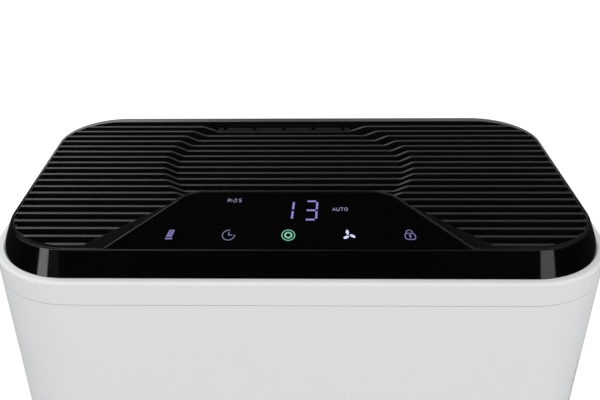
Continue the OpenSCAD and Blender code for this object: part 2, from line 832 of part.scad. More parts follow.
// Forward-curved blade between two radii
blade_root = inlet_r + 4;
module wheel_blade() {
    n = 6;
    thick = 1.2;
    curve = 9;
    path = [for (i = [0:n]) let (t = i / n, r = blade_root + (wheel_r - 1 - blade_root) * t,
                                a = curve * (t - 0.5) * (t + 0.3)) [r * cos(a), r * sin(a)]];
    polygon(concat(path, [for (i = [n:-1:0]) path[i] + [0, thick]]));
}
hub_r = 14;
hub_l = 26;
shaft_fit = 0.02;
module fan_wheel() {
    color("white") difference() {
        union() {
            along_y(wheel_back - 3, 3) translate([fan_x, fan_z]) circle(wheel_r);
            rod_y(fan_x, fan_z, hub_r, wheel_back - hub_l, hub_l);
            along_y(wheel_y, 3) translate([fan_x, fan_z])
                difference() { circle(wheel_r); circle(blade_root); }
            along_y(wheel_y + 3 - eps, wheel_w - 6 + 2 * eps) translate([fan_x, fan_z])
                for (i = [0:wheel_blades - 1]) rotate([0, 0, i * 360 / wheel_blades]) wheel_blade();
        }
        rod_y(fan_x, fan_z, shaft_r + shaft_fit, wheel_back - 2 * hub_l, 3 * hub_l);
    }
}

nut_t = 6;
module wheel_nut() {
    color("goldenrod") difference() {
        translate([fan_x, wheel_back - hub_l - nut_t, fan_z]) rotate([-90, 0, 0])
            cylinder(r = 8, h = nut_t, $fn = 6);
        rod_y(fan_x, fan_z, shaft_r + shaft_fit, wheel_back - 2 * hub_l, 3 * hub_l);
    }
}

can_t = 2;
shaft_proud = 4;
shaft_front = wheel_back - hub_l - nut_t - shaft_proud;
shaft_back = motor_y + motor_l - 1;
module motor_shaft() { color("silver") rod_y(fan_x, fan_z, shaft_r, shaft_front, shaft_back - shaft_front); }

rotor_r = 20;
core_in = bearing_w + 4;
core_l = motor_l - 2 * core_in;
module motor_rotor() {
    color("dimgray") difference() {
        rod_y(fan_x, fan_z, rotor_r, motor_y + core_in, core_l);
        rod_y(fan_x, fan_z, shaft_r + shaft_fit, motor_y, motor_l);
    }
}
module motor_stator() {
    color("chocolate") along_y(motor_y + core_in, core_l) translate([fan_x, fan_z]) {
        difference() { circle(motor_r - can_t); circle(motor_r - can_t - 4); }
        for (a = [0:40:320]) rotate([0, 0, a]) {
            translate([rotor_r + 2.5, -3]) square([motor_r - can_t - 3 - rotor_r - 2.5, 6]);
            translate([rotor_r + 1, -5.5]) square([2.5, 11]);
        }
    }
}
housing_t = 3;
can_front = 1.5;
ear_r = 7.5;
ear_w = 12;
ear_t = 3;
ear_lift = 4;
neck_r = 5;
bush_r = 7;
bush_t = 3;
bolt_head_r = 4;
module motor_can() {
    in_r = shaft_r + 2;
    out_r = bearing_r + housing_t;
    back_in = motor_l - can_t;
    color("silver") difference() {
        union() {
            translate([fan_x, motor_y, fan_z]) rotate([-90, 0, 0]) rotate_extrude() polygon([
                [in_r, -1], [out_r + 1.5, -1], [out_r + 1.5, can_front], [motor_r, can_front],
                [motor_r, motor_l], [in_r, motor_l], [in_r, back_in], [bearing_r, back_in],
                [bearing_r, back_in - bearing_w - 1], [out_r, back_in - bearing_w - 1], [out_r, back_in],
                [motor_r - can_t, back_in], [motor_r - can_t, can_front + can_t], [out_r, can_front + can_t],
                [out_r, bearing_w + 3], [bearing_r, bearing_w + 3], [bearing_r, 2], [in_r, 2]
            ]);
            at_motor_bolts() rod_y(0, 0, ear_r, motor_y + ear_lift, ear_t);
            for (a = bolt_angles) translate([fan_x, motor_y + ear_lift, fan_z]) rotate([0, -a, 0])
                translate([motor_r - 1.4, 0, -ear_w / 2]) cube([bolt_out, ear_t, ear_w]);
        }
        at_motor_bolts() rod_y(0, 0, neck_r + seat, motor_y - 1, 3 * ear_lift);
    }
}
module motor_bearings() {
    color("silver") for (y = [motor_y + 2, motor_y + motor_l - 2 - bearing_w]) difference() {
        rod_y(fan_x, fan_z, bearing_r - 0.02, y, bearing_w);
        rod_y(fan_x, fan_z, shaft_r + run, y - 1, bearing_w + 2);
    }
}
module motor_bushes() {
    color("#202020") at_motor_bolts() difference() {
        union() {
            rod_y(0, 0, bush_r, motor_y, ear_lift);
            rod_y(0, 0, neck_r, motor_y + ear_lift - eps, ear_t + 2 * eps);
            rod_y(0, 0, bush_r, motor_y + ear_lift + ear_t, bush_t);
        }
        rod_y(0, 0, screw_r + seat, motor_y - 1, ear_lift + ear_t + bush_t + 2);
    }
}
module motor_screws() {
    color("silver") at_motor_bolts() {
        rod_y(0, 0, bolt_head_r, motor_y + ear_lift + ear_t + bush_t, head_t);
        rod_y(0, 0, screw_r, motor_y - scroll_t - bush_t, scroll_t + ear_lift + ear_t + 2 * bush_t + eps);
        rod_y(0, 0, bolt_head_r, motor_y - scroll_t - bush_t, bush_t);
    }
}

// ---- sensor, electrics ----

sensor_t = 16;
sensor_gap = 3;
sensor_half = 20;
sensor_low = 16;
sensor_high = 18;
lug_w = 9;
lug_h = 10;
lug_over = 0.1;
module dust_sensor() {
    x1 = body_w / 2 - wall - sensor_gap;
    color("silver") difference() {
        block(x1 - sensor_t, x1, door_y - sensor_half, door_y + sensor_half,
              door_z - sensor_low, door_z + sensor_high);
        translate([x1 - 6, door_y, door_z]) rotate([0, 90, 0]) cylinder(r = 5, h = 12);
    }
    // lugs that reach the wall beside the door
    color("silver") for (sy = [-1, 1])
        translate([x1, door_y + sy * (sensor_half + lug_w / 2 - lug_over), door_z + 2])
            cube([2 * (sensor_gap - seat), lug_w, lug_h], center = true);
}

module sensor_door() {
    x0 = body_w / 2 - wall;
    z0 = door_z - door_h / 2;
    color("lightgray") difference() {
        union() {
            block(x0, body_w / 2, door_y - door_w / 2, door_y + door_w / 2, z0 + wall / 2, z0 + door_h);
            translate([x0 + wall / 2, door_y - door_w / 2, z0 + wall / 2]) rotate([-90, 0, 0])
                cylinder(r = wall / 2, h = door_w);
            translate([x0 + wall / 2, door_y - door_w / 2 - 2.5, z0 + wall / 2]) rotate([-90, 0, 0])
                cylinder(r = door_pin_r, h = door_w + 5);
        }
        for (i = [-3:3]) translate([x0 + 1, door_y, door_z + 3 + i * 4]) cube([10, 24, 1.8], center = true);
    }
}

pcb_x = -60;
pcb_w = 150;
pcb_d = 78;
pcb_y = 22;
tray_z = base_z + floor_t;
module board_tray() {
    color("#303030") difference() {
        block(pcb_x - pcb_w / 2 - 3, pcb_x + pcb_w / 2 + 3, pcb_y - pcb_d / 2 - 3, pcb_y + pcb_d / 2 + 3,
              tray_z, tray_z + 26);
        block(pcb_x - pcb_w / 2 - 1, pcb_x + pcb_w / 2 + 1, pcb_y - pcb_d / 2 - 1, pcb_y + pcb_d / 2 + 1,
              tray_z + 2, tray_z + 40);
    }
}
pcb_z = tray_z + 8;
module power_board() {
    color("darkgreen") {
        block(pcb_x - pcb_w / 2, pcb_x + pcb_w / 2, pcb_y - pcb_d / 2, pcb_y + pcb_d / 2,
              pcb_z, pcb_z + board_t);
        for (sx = [-1, 1], sy = [-1, 1])
            translate([pcb_x + sx * (pcb_w / 2 - 6), pcb_y + sy * (pcb_d / 2 - 6), tray_z + 2])
                cylinder(r = 3, h = pcb_z - tray_z - 2 + eps);
    }
}
// Blocks on the board: left, front, width, depth, height
board_blocks = [
    [-60, -26, 34, 28, 26], [-12, -22, 20, 24, 18], [-55, 14, 60, 12, 22], [24, 12, 34, 10, 9],
    [62, 20, 10, 14, 12], [20, -36, 36, 8, 9]
];
// Round capacitors on the board: middle, radius, height
board_cans = [[20, -18, 8, 28], [38, -18, 8, 28]];
module board_parts() {
    color("goldenrod") translate([pcb_x, pcb_y, pcb_z + board_t]) {
        for (b = board_blocks) translate([b[0], b[1], 0]) cube([b[2], b[3], b[4]]);
        for (c = board_cans) translate([c[0], c[1], 0]) cylinder(r = c[2], h = c[3]);
    }
}

pin_r = 1.2;
pin_l = 10;
pin_root_r = 1.8;
pin_root_l = 12;
pin_apart = 8.6;
pin_floor_y = back_y - inlet_deep;
module mains_inlet() {
    color("#202020") difference() {
        union() {
            block(inlet_x - inlet_w / 2 - 2.9, inlet_x + inlet_w / 2 + 2.9,
                  back_y - inlet_deep - 6, back_y - 0.3,
                  inlet_z - inlet_h / 2 - 2.9, inlet_z + inlet_h / 2 + 2.9);
            block(inlet_x - inlet_w / 2 - 6, inlet_x + inlet_w / 2 + 6, back_y - wall - 3, back_y - wall,
                  inlet_z - inlet_h / 2 - 6, inlet_z + inlet_h / 2 + 6);
        }
        translate([inlet_x, back_y - inlet_deep, inlet_z]) rotate([-90, 0, 0]) linear_extrude(40) {
            square([inlet_w - inlet_h, inlet_h], center = true);
            for (sx = [-1, 1]) translate([sx * (inlet_w - inlet_h) / 2, 0]) circle(inlet_h / 2);
        }
        for (sx = [-1, 1])
            rod_y(inlet_x + sx * pin_apart / 2, inlet_z, pin_root_r + shaft_fit, back_y - 30, 30);
    }
}
module inlet_pins() {
    color("gold") for (sx = [-1, 1]) translate([inlet_x + sx * pin_apart / 2, 0, inlet_z]) {
        rod_y(0, 0, pin_root_r, pin_floor_y - pin_root_l, pin_root_l);
        rod_y(0, 0, pin_r, pin_floor_y - eps, pin_l + eps);
    }
}

module reed_switch() {
    color("white") block(catch_x - 8, catch_x + 8, bay_front + 1, bay_front + 7,
                         catch_zs[1] + 8 + eps, catch_zs[1] + 13);
}

// Wires: the console's loom down the left side, then the motor's, the mains and the dust sensor's
loom_r = 2.6;
loom_x = console_x - 41.5;
loom_y = lens_front_y + 19.4;
loom_over = plate_top + 3.5;
loom_side = body_w / 2 - 33;
loom_back = plate_y + 23;
loom_low = base_z + 69;
function drop(x, y, z0, z1, n) = [for (i = [0:n]) [x, y, z0 + (z1 - z0) * i / n]];
loom_path = concat([
    [loom_x, loom_y, box_z + 1.7], [loom_x, loom_y, lid_z - 6], [loom_x, loom_y, ring_z],
    [loom_x, loom_y + 1, ring_z - 10], [loom_x - 3, loom_y + 4, loom_over + 7],
    [loom_x - 12, loom_y + 7, loom_over + 1], [loom_x - 27, loom_y + 9, loom_over],
    [loom_x - 57, plate_y - 25, loom_over], [25 - loom_side, plate_y - 24, loom_over],
    [9 - loom_side, plate_y - 20, loom_over], [1 - loom_side, plate_y - 9, loom_over],
    [-loom_side, plate_y + 5, loom_over], [-loom_side, plate_y + 16, loom_over - 3],
    [-loom_side, plate_y + 21, loom_over - 12], [-loom_side, loom_back - 1, loom_over - 42]],
    drop(-loom_side, loom_back, loom_over - 102, loom_low + 45, 4),
    [[1 - loom_side, loom_back + 1, loom_low], [7 - loom_side, -16, base_z + 48],
    [21 - loom_side, -13, base_z + 39], [-120, -12, base_z + 37], [-80, -11, base_z + 36],
    [-52, -10, base_z + 35], [-40, -10, base_z + 33], [-36, -10, base_z + 28], [-35, -10, base_z + 22]
]);
lead_r = 1.7;
lead_y = motor_y + 30;
motor_path = concat(
    drop(fan_x, lead_y, fan_z - motor_r - 0.3, base_z + 79, 4), [
    [-11, lead_y - 4, base_z + 56], [-12, 64, base_z + 42],
    [-13, 52, base_z + 37], [-14, 44, base_z + 34], [-15, 40, base_z + 28], [-15, 39, base_z + 22]
]);
mains_y = back_y - inlet_deep - 12.4;
mains_path = [
    [inlet_x, mains_y, inlet_z], [inlet_x, mains_y - 7.6, inlet_z],
    [inlet_x - 4, mains_y - 14.6, inlet_z - 8], [inlet_x - 16, mains_y - 19.6, inlet_z - 22],
    [70, 57, base_z + 44], [40, 53, base_z + 40],
    [18, 50, base_z + 38], [10, 49, base_z + 34], [7, 49, base_z + 30], [7, 49, base_z + 25]
];
sensor_x = body_w / 2 - 14;
sensor_path = concat(
    drop(sensor_x, door_y, door_z - 16.3, base_z + 104, 4), [
    [sensor_x - 3, 20, base_z + 66], [sensor_x - 16, 10, base_z + 46], [120, -4, base_z + 38],
    [60, -9, base_z + 36], [20, -10, base_z + 36], [2, -10, base_z + 35], [-7, -10, base_z + 32],
    [-9, -10, base_z + 27], [-9, -10, base_z + 22]
]);
function unit(v) = v / norm(v);
function tangent(p, i) = unit(p[min(i + 1, len(p) - 1)] - p[max(i - 1, 0)]);
module tube(p, r, n) {
    rings = [for (i = [0:len(p) - 1]) let (t = tangent(p, i), ref = abs(t[1]) > 0.9 ? [1, 0, 0] : [0, 1, 0],
                                           u = unit(cross(t, ref)), v = cross(t, u))
                for (j = [0:n - 1]) p[i] + r * (u * cos(360 * j / n) + v * sin(360 * j / n))];
    side = [for (i = [0:len(p) - 2], j = [0:n - 1]) let (k = (j + 1) % n)
                [i * n + j, i * n + k, (i + 1) * n + k, (i + 1) * n + j]];
    polyhedron(points = rings, faces = concat(
        [[for (j = [n - 1:-1:0]) j]], side, [[for (j = [0:n - 1]) (len(p) - 1) * n + j]]));
}
module wiring_harness() {
    color("#303030") {
        tube(loom_path, loom_r, 8);
        for (p = [motor_path, mains_path, sensor_path]) tube(p, lead_r, 8);
    }
}

base_tray();
rubber_feet();
rear_casing();
front_cover();
cover_magnets();
catch_plates();
grip(-1);  // grip_left
grip(1);  // grip_right
lid_band();
top_grille();
console_lens();
console_box();
control_board();
digit_display();
touch_pads();
key_leds();
filter_bay();
bay_seal();
pre_filter_frame();
pre_filter_mesh();
filter_frame();
filter_pleats();
carbon_sheet();
pull_tabs();
inlet_guard();
scroll_front();
scroll_back();
outlet_duct();
fan_wheel();
wheel_nut();
motor_shaft();
motor_rotor();
motor_stator();
motor_can();
motor_bearings();
motor_bushes();
motor_screws();
dust_sensor();
sensor_door();
power_board();
board_parts();
board_tray();
mains_inlet();
inlet_pins();
wiring_harness();
casing_screws();
reed_switch();
lid_screws();
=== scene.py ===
import json
import math

import bmesh
import bpy
import numpy as np
from mathutils import Matrix, Vector


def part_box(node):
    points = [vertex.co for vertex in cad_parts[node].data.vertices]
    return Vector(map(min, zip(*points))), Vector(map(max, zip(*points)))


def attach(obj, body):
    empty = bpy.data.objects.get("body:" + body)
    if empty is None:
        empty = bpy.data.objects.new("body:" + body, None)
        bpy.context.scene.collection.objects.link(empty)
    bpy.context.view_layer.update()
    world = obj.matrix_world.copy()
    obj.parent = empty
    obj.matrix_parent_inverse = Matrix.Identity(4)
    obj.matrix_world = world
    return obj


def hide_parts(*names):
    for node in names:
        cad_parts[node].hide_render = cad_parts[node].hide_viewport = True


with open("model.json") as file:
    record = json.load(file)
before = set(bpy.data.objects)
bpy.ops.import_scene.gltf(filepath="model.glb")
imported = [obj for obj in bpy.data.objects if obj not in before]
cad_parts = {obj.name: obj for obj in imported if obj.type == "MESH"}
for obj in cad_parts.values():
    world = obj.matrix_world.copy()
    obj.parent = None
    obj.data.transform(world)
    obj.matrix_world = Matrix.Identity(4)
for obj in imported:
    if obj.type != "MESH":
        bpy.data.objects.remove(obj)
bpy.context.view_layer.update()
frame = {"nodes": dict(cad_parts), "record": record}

# ---- Camera ----
# The viewpoint stands just in front of the purifier and looks down on its lid.
# It is turned a little to the left, and the frame is shifted back to keep the lid in the middle.
camera = bpy.data.objects.new("camera", bpy.data.cameras.new("camera"))
bpy.context.scene.collection.objects.link(camera)
camera_turn, camera_pitch, camera_roll = 1.54, 29.62, -0.75
camera.matrix_world = (
    Matrix.Translation((0, -0.4657, 0.8031))
    @ Matrix.Rotation(math.radians(camera_turn), 4, "Z")
    @ Matrix.Rotation(math.radians(90 - camera_pitch), 4, "X")
    @ Matrix.Rotation(math.radians(camera_roll), 4, "Z")
)
camera.data.lens = 44.15
camera.data.shift_x = 0.032
camera.data.sensor_width = 36
camera.data.clip_start = 0.02
bpy.context.scene.camera = camera
bpy.context.scene.view_settings.view_transform = "Standard"

# ---- Floor ----
# A pale matt floor that still keeps the shadow of the purifier. Its own faint glow is seen
# by the eye alone, so it looks white, and gloss black surfaces mirror it as dark.
class Wire:
    """An output of a shader node. Sums and products of wires and numbers add Math nodes."""

    def __init__(self, tree, socket=None):
        self.tree, self.socket = tree, socket

    def node(self, kind, settings=None, inputs=None, output=0):
        """Adds a node, sets its settings, fills its inputs with values or wires, and gives one output."""
        made = self.tree.nodes.new("ShaderNode" + kind)
        for key, value in (settings or {}).items():
            if key == "stops":
                ramp = made.color_ramp.elements
                while len(ramp) < len(value):
                    ramp.new(1)
                for stop, (place, shade) in zip(ramp, value):
                    stop.position, stop.color = place, (*shade, 1)
            else:
                setattr(made, key, value)
        for key, value in (inputs or {}).items():
            if isinstance(value, Wire):
                self.tree.links.new(value.socket, made.inputs[key])
            else:
                made.inputs[key].default_value = value
        return Wire(self.tree, made.outputs[output])

    def maths(self, operation, *values):
        return self.node("Math", {"operation": operation}, dict(enumerate(values)))

    def __add__(self, other):
        return self.maths("ADD", self, other)

    __radd__ = __add__

    def __sub__(self, other):
        return self.maths("SUBTRACT", self, other)

    def __rsub__(self, other):
        return self.maths("SUBTRACT", other, self)

    def __mul__(self, other):
        return self.maths("MULTIPLY", self, other)

    __rmul__ = __mul__

    def between(self, low, high):
        """0 where this wire is below low, 1 above high, and a smooth rise between."""
        return self.node("MapRange", {"interpolation_type": "SMOOTHSTEP"}, {0: self, 1: low, 2: high})

    def blend(self, first, second):
        """The first colour where this wire is 0, the second where it is 1."""
        return self.node("Mix", {"data_type": "RGBA"}, {0: self, 6: first, 7: second}, output=2)


floor_half = 9.0
floor_mesh = bpy.data.meshes.new("floor")
floor_mesh.from_pydata([(x * floor_half, y * floor_half, 0) for x, y in ((-1, -1), (1, -1), (1, 1), (-1, 1))], [],
                       [(0, 1, 2, 3)])
floor = bpy.data.objects.new("floor", floor_mesh)
bpy.context.scene.collection.objects.link(floor)
floor_skin = bpy.data.materials.new("floor")
floor_skin.use_nodes = True
floor_skin.node_tree.nodes.clear()
tree = Wire(floor_skin.node_tree)
speckle = tree.node("TexNoise", inputs={"Vector": tree.node("TexCoord", output="Object"), "Scale": 40.0})
matt = tree.node("BsdfDiffuse", inputs={"Color": speckle.blend((0.78, 0.78, 0.78, 1), (0.84, 0.84, 0.84, 1))})
glow = tree.node("Emission", inputs={"Strength": 0.45})
dull = tree.node("BsdfDiffuse", inputs={"Color": (0.02, 0.02, 0.02, 1)})
seen, mirrored = (tree.node("LightPath", output=f"Is {kind} Ray") for kind in ("Camera", "Glossy"))
plain = tree.node("MixShader", inputs={0: mirrored, 1: matt, 2: dull})
both = tree.node("AddShader", inputs={0: matt, 1: glow})
floor_out = floor_skin.node_tree.nodes.new("ShaderNodeOutputMaterial")
floor_look = tree.node("MixShader", inputs={0: seen, 1: plain, 2: both})
floor_skin.node_tree.links.new(floor_look.socket, floor_out.inputs[0])
floor_mesh.materials.append(floor_skin)

# ---- Studio ----
# The room is white to the eye. In reflections a low white screen stands behind the purifier,
# a wide soft cloth hangs overhead on the left, and the rest is dark; as light it is an even soft grey.
screen_top, screen_blur = 26.0, 1.5
cloth_light, haze_light, dark_light, room_light = 4.3, 0.08, 0.008, 0.75
world = bpy.data.worlds.new("studio")
bpy.context.scene.world = world
world.use_nodes = True
world.node_tree.nodes.clear()
tree = Wire(world.node_tree)
way = tree.node("TexCoord", output="Generated")
side, back, rise = (tree.node("SeparateXYZ", inputs={0: way}, output=axis) for axis in range(3))
over_screen = rise.between(*(math.sin(math.radians(screen_top + turn)) for turn in (-screen_blur, screen_blur)))
low_part = rise.between(0.24, 0.34) + (1 - side.between(-0.33, -0.24))
low_screen = back.between(0.6, 0.85) * low_part.maths("MINIMUM", low_part, 1.0) * (1 - over_screen)
low_screen = low_screen * (0.62 + (1 - side.between(-0.30, -0.02)) + 0.2 * side.between(0.02, 0.12))
cloth = (1 - side.between(-0.4, 0.22)) * (0.55 + 0.45 * side.between(-0.42, -0.25)) * cloth_light
cloth = (cloth + side.between(0.0, 0.25)) * rise.between(0.68, 0.82)
haze = side.between(0.20, 0.34) * back.between(0.5, 0.7) * (1 - rise.between(0.50, 0.64)) * haze_light
reflected = tree.node("Background", inputs={0: (1, 1, 1, 1), 1: low_screen + cloth + haze + dark_light})
even = tree.node("Background", inputs={0: (room_light, room_light, room_light, 1)})
white = tree.node("Background", inputs={0: (1, 1, 1, 1)})
ray = {name: tree.node("LightPath", output=f"Is {name} Ray") for name in ("Camera", "Glossy")}
room = tree.node("MixShader", inputs={0: ray["Glossy"], 1: even, 2: reflected})
room_look = tree.node("MixShader", inputs={0: ray["Camera"], 1: room, 2: white})
world_out = world.node_tree.nodes.new("ShaderNodeOutputWorld")
world.node_tree.links.new(room_look.socket, world_out.inputs[0])


def lamp(name, place, target, width, height, radiance):
    """A flat softbox that faces a target. Its power is pi times its area times its radiance."""
    data = bpy.data.lights.new(name, "AREA")
    data.shape, data.size, data.size_y = "RECTANGLE", width, height
    data.energy = math.pi * width * height * radiance
    box = bpy.data.objects.new(name, data)
    bpy.context.scene.collection.objects.link(box)
    box.location = place
    box.rotation_euler = (box.location - Vector(target)).to_track_quat("Z", "Y").to_euler()
    box.visible_camera = False
    return box


lamp("left_strip", (-1.33, -1.17, 0.97), (-0.16, -0.08, 0.55), 0.40, 0.60, 3.1)
lamp("left_glow", (-0.99, -1.47, 1.05), (-0.16, -0.08, 0.55), 0.36, 0.60, 0.1)
lamp("right_strip", (1.05, -1.40, 1.07), (0.16, -0.08, 0.55), 0.56, 0.60, 1.55)
lamp("top_left", (-1.5, 0.9, 2.3), (0, 0, 0.5), 1.4, 1.0, 3.0)
lamp("top_front", (0.1, -1.6, 2.6), (0, 0, 0.3), 2.4, 1.0, 1.5).visible_glossy = False
lamp("right_fill", (1.9, -0.5, 0.9), (0, 0, 0.4), 1.2, 1.2, 0.9).visible_glossy = False

# ---- Base tray and feet ----
# The tray is moulded in light grey ABS with a fine spark texture and carries everything.
# Four rubber feet are pressed into its floor by their stems.
mm = 0.001
weld, flat_turn, edge_turn = 0.002 * mm, math.radians(0.6), math.radians(32)
body_of = {node: body for body, nodes in frame["record"]["behaviour"]["bodies"].items() for node in nodes}


def screen_rgb(red, green, blue):
    """A colour as it looks on a screen, 0 to 255, in the linear light that shaders work in."""
    shade = np.array([red, green, blue]) / 255
    return (*np.where(shade > 0.04045, ((shade + 0.055) / 1.055) ** 2.4, shade / 12.92).tolist(), 1.0)


class Skin:
    """A material with one Principled shader: constants are set on its sockets, patterns fed to them as wires."""

    def __init__(self, name, **constants):
        self.material = bpy.data.materials.new(name)
        self.material.use_nodes = True
        tree = self.material.node_tree
        self.shader = next(n for n in tree.nodes if n.type == "BSDF_PRINCIPLED")
        self.wire = Wire(tree)
        self.place = self.wire.node("TexCoord", output="Object")
        for key, value in constants.items():
            self.shader.inputs[key.replace("_", " ")].default_value = value

    def feed(self, socket, wire):
        self.wire.tree.links.new(wire.socket, self.shader.inputs[socket])

    def noise(self, scale, detail=2.0, stretch=None):
        """Soft noise, a number of cells to the metre; stretch squeezes the place along the axes first."""
        place = self.place
        if stretch:
            place = self.wire.node("VectorMath", {"operation": "MULTIPLY"}, {0: place, 1: stretch})
        return self.wire.node("TexNoise", inputs={"Vector": place, "Scale": scale, "Detail": detail})

    def cells(self, scale):
        """Distance to the nearest of scattered points, a number of them to the metre."""
        return self.wire.node("TexVoronoi", {"feature": "F1"}, {"Vector": self.place, "Scale": scale})

    def relief(self, height, depth):
        """Raises the surface by a height wire, depth metres for one whole unit."""
        self.feed("Normal", self.wire.node("Bump", inputs={"Height": height, "Distance": depth, "Strength": 1.0}))


def moulded(name, colour, roughness, grain, depth, mottle=0.04):
    """Moulded plastic: a colour that drifts over the part, and a spark-eroded grain, in cells to the metre."""
    skin, sheen = Skin(name), 0.08
    drift, grit = skin.noise(14.0, 3.0), skin.noise(grain, 2.0)
    darker = tuple(c * (1 - mottle) for c in colour[:3]) + (1,)
    lighter = tuple(min(1, c * (1 + mottle)) for c in colour[:3]) + (1,)
    skin.feed("Base Color", (drift * 0.7 + grit * 0.3).blend(darker, lighter))
    skin.feed("Roughness", drift * sheen + grit * sheen + (roughness - sheen))
    skin.relief(grit, depth)
    return skin


def smooth_shade(mesh, sharp=35.0):
    """Smooth shading with hard edges where faces meet at more than an angle."""
    mesh.polygons.foreach_set("use_smooth", np.ones(len(mesh.polygons), bool))
    mesh.set_sharp_from_angle(angle=math.radians(sharp))


def settle(piece, skin, body, stands_for=()):
    """Gives a finished piece its material and body, and hides the CAD nodes that it stands for."""
    piece.data.materials.clear()
    piece.data.materials.append(skin.material)
    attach(piece, body)
    if stands_for:
        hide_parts(*stands_for)
    return piece


def even_normals(piece):
    """Large flat faces keep their own direction, and the small ones beside them bend to it."""
    fix = piece.modifiers.new("even_normals", "WEIGHTED_NORMAL")
    fix.weight, fix.keep_sharp = 100, True


def edged(node, skin, edge=0.4, steps=2, split=None):
    """A piece for a moulded or cut CAD node: its triangles merged into faces, with the edges rounded off.

    Faces with many holes can be split first, into convex parts or into triangles.
    """
    work = bmesh.new()
    work.from_mesh(frame["nodes"][node].data)
    bmesh.ops.remove_doubles(work, verts=work.verts, dist=weld)
    bmesh.ops.dissolve_limit(work, angle_limit=flat_turn, verts=work.verts, edges=work.edges,
                             use_dissolve_boundaries=False)
    if split == "convex":
        bmesh.ops.connect_verts_concave(work, faces=work.faces)
    elif split == "triangles":
        bmesh.ops.triangulate(work, faces=work.faces)
    mesh = bpy.data.meshes.new(node + "_finished")
    work.to_mesh(mesh)
    work.free()
    smooth_shade(mesh)
    piece = bpy.data.objects.new(mesh.name, mesh)
    bpy.context.scene.collection.objects.link(piece)
    round_off = piece.modifiers.new("rounded_edges", "BEVEL")
    round_off.width, round_off.segments = edge * mm, steps
    round_off.limit_method, round_off.angle_limit = "ANGLE", edge_turn
    round_off.miter_outer = "MITER_ARC"
    even_normals(piece)
    return settle(piece, skin, body_of[node], (node,))


def finish_node(node, skin):
    """A CAD node whose shape is right already gets the material."""
    for place in frame["nodes"][node].material_slots:
        place.material = skin.material


casing_skin = moulded("casing_plastic", screen_rgb(226, 227, 228), 0.46, 1500.0, 0.00004, mottle=0.015)
edged("base_tray", casing_skin, edge=0.8, steps=3)
rubber_skin = moulded("rubber", screen_rgb(38, 38, 40), 0.75, 900.0, 0.00008)
edged("rubber_feet", rubber_skin, edge=0.5)

# ---- Rear casing ----
# The casing's back half, one light grey moulding with the ring that carries the lid. Six screws
# hold it from behind, sunk in round wells. It takes two grip cups, a sensor door and the mains inlet.
edged("rear_casing", casing_skin, edge=0.5, split="triangles")
grip_skin = moulded("grip_plastic", screen_rgb(196, 198, 200), 0.5, 1500.0, 0.00005)
edged("grip_left", grip_skin, edge=0.6, split="convex")
edged("grip_right", grip_skin, edge=0.6, split="convex")


def metal(name, colour, roughness, brush, depth=0.00001):
    """Metal with fine tool marks: noise stretched along the brushing, a vector of cells to the metre."""
    skin = Skin(name, Metallic=1.0)
    marks, stain = skin.noise(1.0, 3.0, stretch=brush), skin.noise(60.0, 2.0)
    skin.feed("Base Color", stain.blend(tuple(0.86 * c for c in colour[:3]) + (1,), colour))
    skin.feed("Roughness", marks * 0.16 + (roughness - 0.08))
    skin.relief(marks, depth)
    return skin


steel_skin = metal("zinc_plated_steel", screen_rgb(196, 198, 202), 0.34, (900, 900, 900))
edged("casing_screws", steel_skin, edge=0.25)
edged("lid_screws", steel_skin, edge=0.25)
edged("sensor_door", casing_skin, edge=0.3, split="convex")
dark_skin = moulded("dark_plastic", screen_rgb(42, 43, 46), 0.5, 1300.0, 0.00005)
edged("mains_inlet", dark_skin, edge=0.35)

# ---- Front cover ----
# The casing's front half, lifted off by hand. Rows of air slots run down both sides,
# four tongues hook it in place and four magnets on posts hold it shut.
edged("front_cover", casing_skin, edge=0.5)
magnet_skin = metal("nickel_plated_magnet", screen_rgb(176, 177, 180), 0.22, (300, 300, 300))
edged("cover_magnets", magnet_skin, edge=0.4)
edged("catch_plates", steel_skin, edge=0.3)

# ---- Pre-filter ----
# A washable frame of dark plastic with a lattice of bars. A woven nylon net is welded to its back
# and keeps the coarse dust out.
lattice_skin = moulded("lattice_plastic", screen_rgb(74, 76, 79), 0.55, 1100.0, 0.00006)
edged("pre_filter_frame", lattice_skin, edge=0.35, split="convex")
net_low, net_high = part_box("pre_filter_mesh")
thread, hem, net_pitch = 0.36 * mm, 4 * mm, 3.0 * mm
corner_sign = np.array([[-1, -1, -1], [1, -1, -1], [1, 1, -1], [-1, 1, -1],
                        [-1, -1, 1], [1, -1, 1], [1, 1, 1], [-1, 1, 1]])
cube_faces = [[0, 3, 2, 1], [4, 5, 6, 7], [0, 1, 5, 4], [1, 2, 6, 5], [2, 3, 7, 6], [3, 0, 4, 7]]


def crossed(low, high, depth, lean):
    """Evenly spaced straight threads across a rectangle, each a box: lean 0 gives upright ones, 1 level ones."""
    span, along = high[lean] - low[lean], 1 - lean
    count = int(span / net_pitch)
    middle = low[lean] + (np.arange(count) + 0.5) * span / count
    corners = np.empty((count, 8, 3))
    corners[..., 2 * lean] = middle[:, None] + corner_sign[:, 0] * thread / 2
    corners[..., 2 * along] = np.where(corner_sign[:, 1] > 0, high[along], low[along])
    corners[..., 1] = depth + corner_sign[:, 2] * thread / 2
    faces = (np.arange(count)[:, None, None] * 8 + np.array(cube_faces)).reshape(-1, 4)
    return corners.reshape(-1, 3), faces.tolist()


def block(low, high):
    """The eight corners and six faces of a block between two opposite corners."""
    low, high = np.array(low), np.array(high)
    return (low + high) / 2 + corner_sign * (high - low) / 2, cube_faces


def joined(parts):
    """Several lots of points and faces as one."""
    points, faces, base = [], [], 0
    for more, lot in parts:
        points.append(more)
        faces += [[base + i for i in face] for face in lot]
        base += len(more)
    return np.concatenate(points), faces


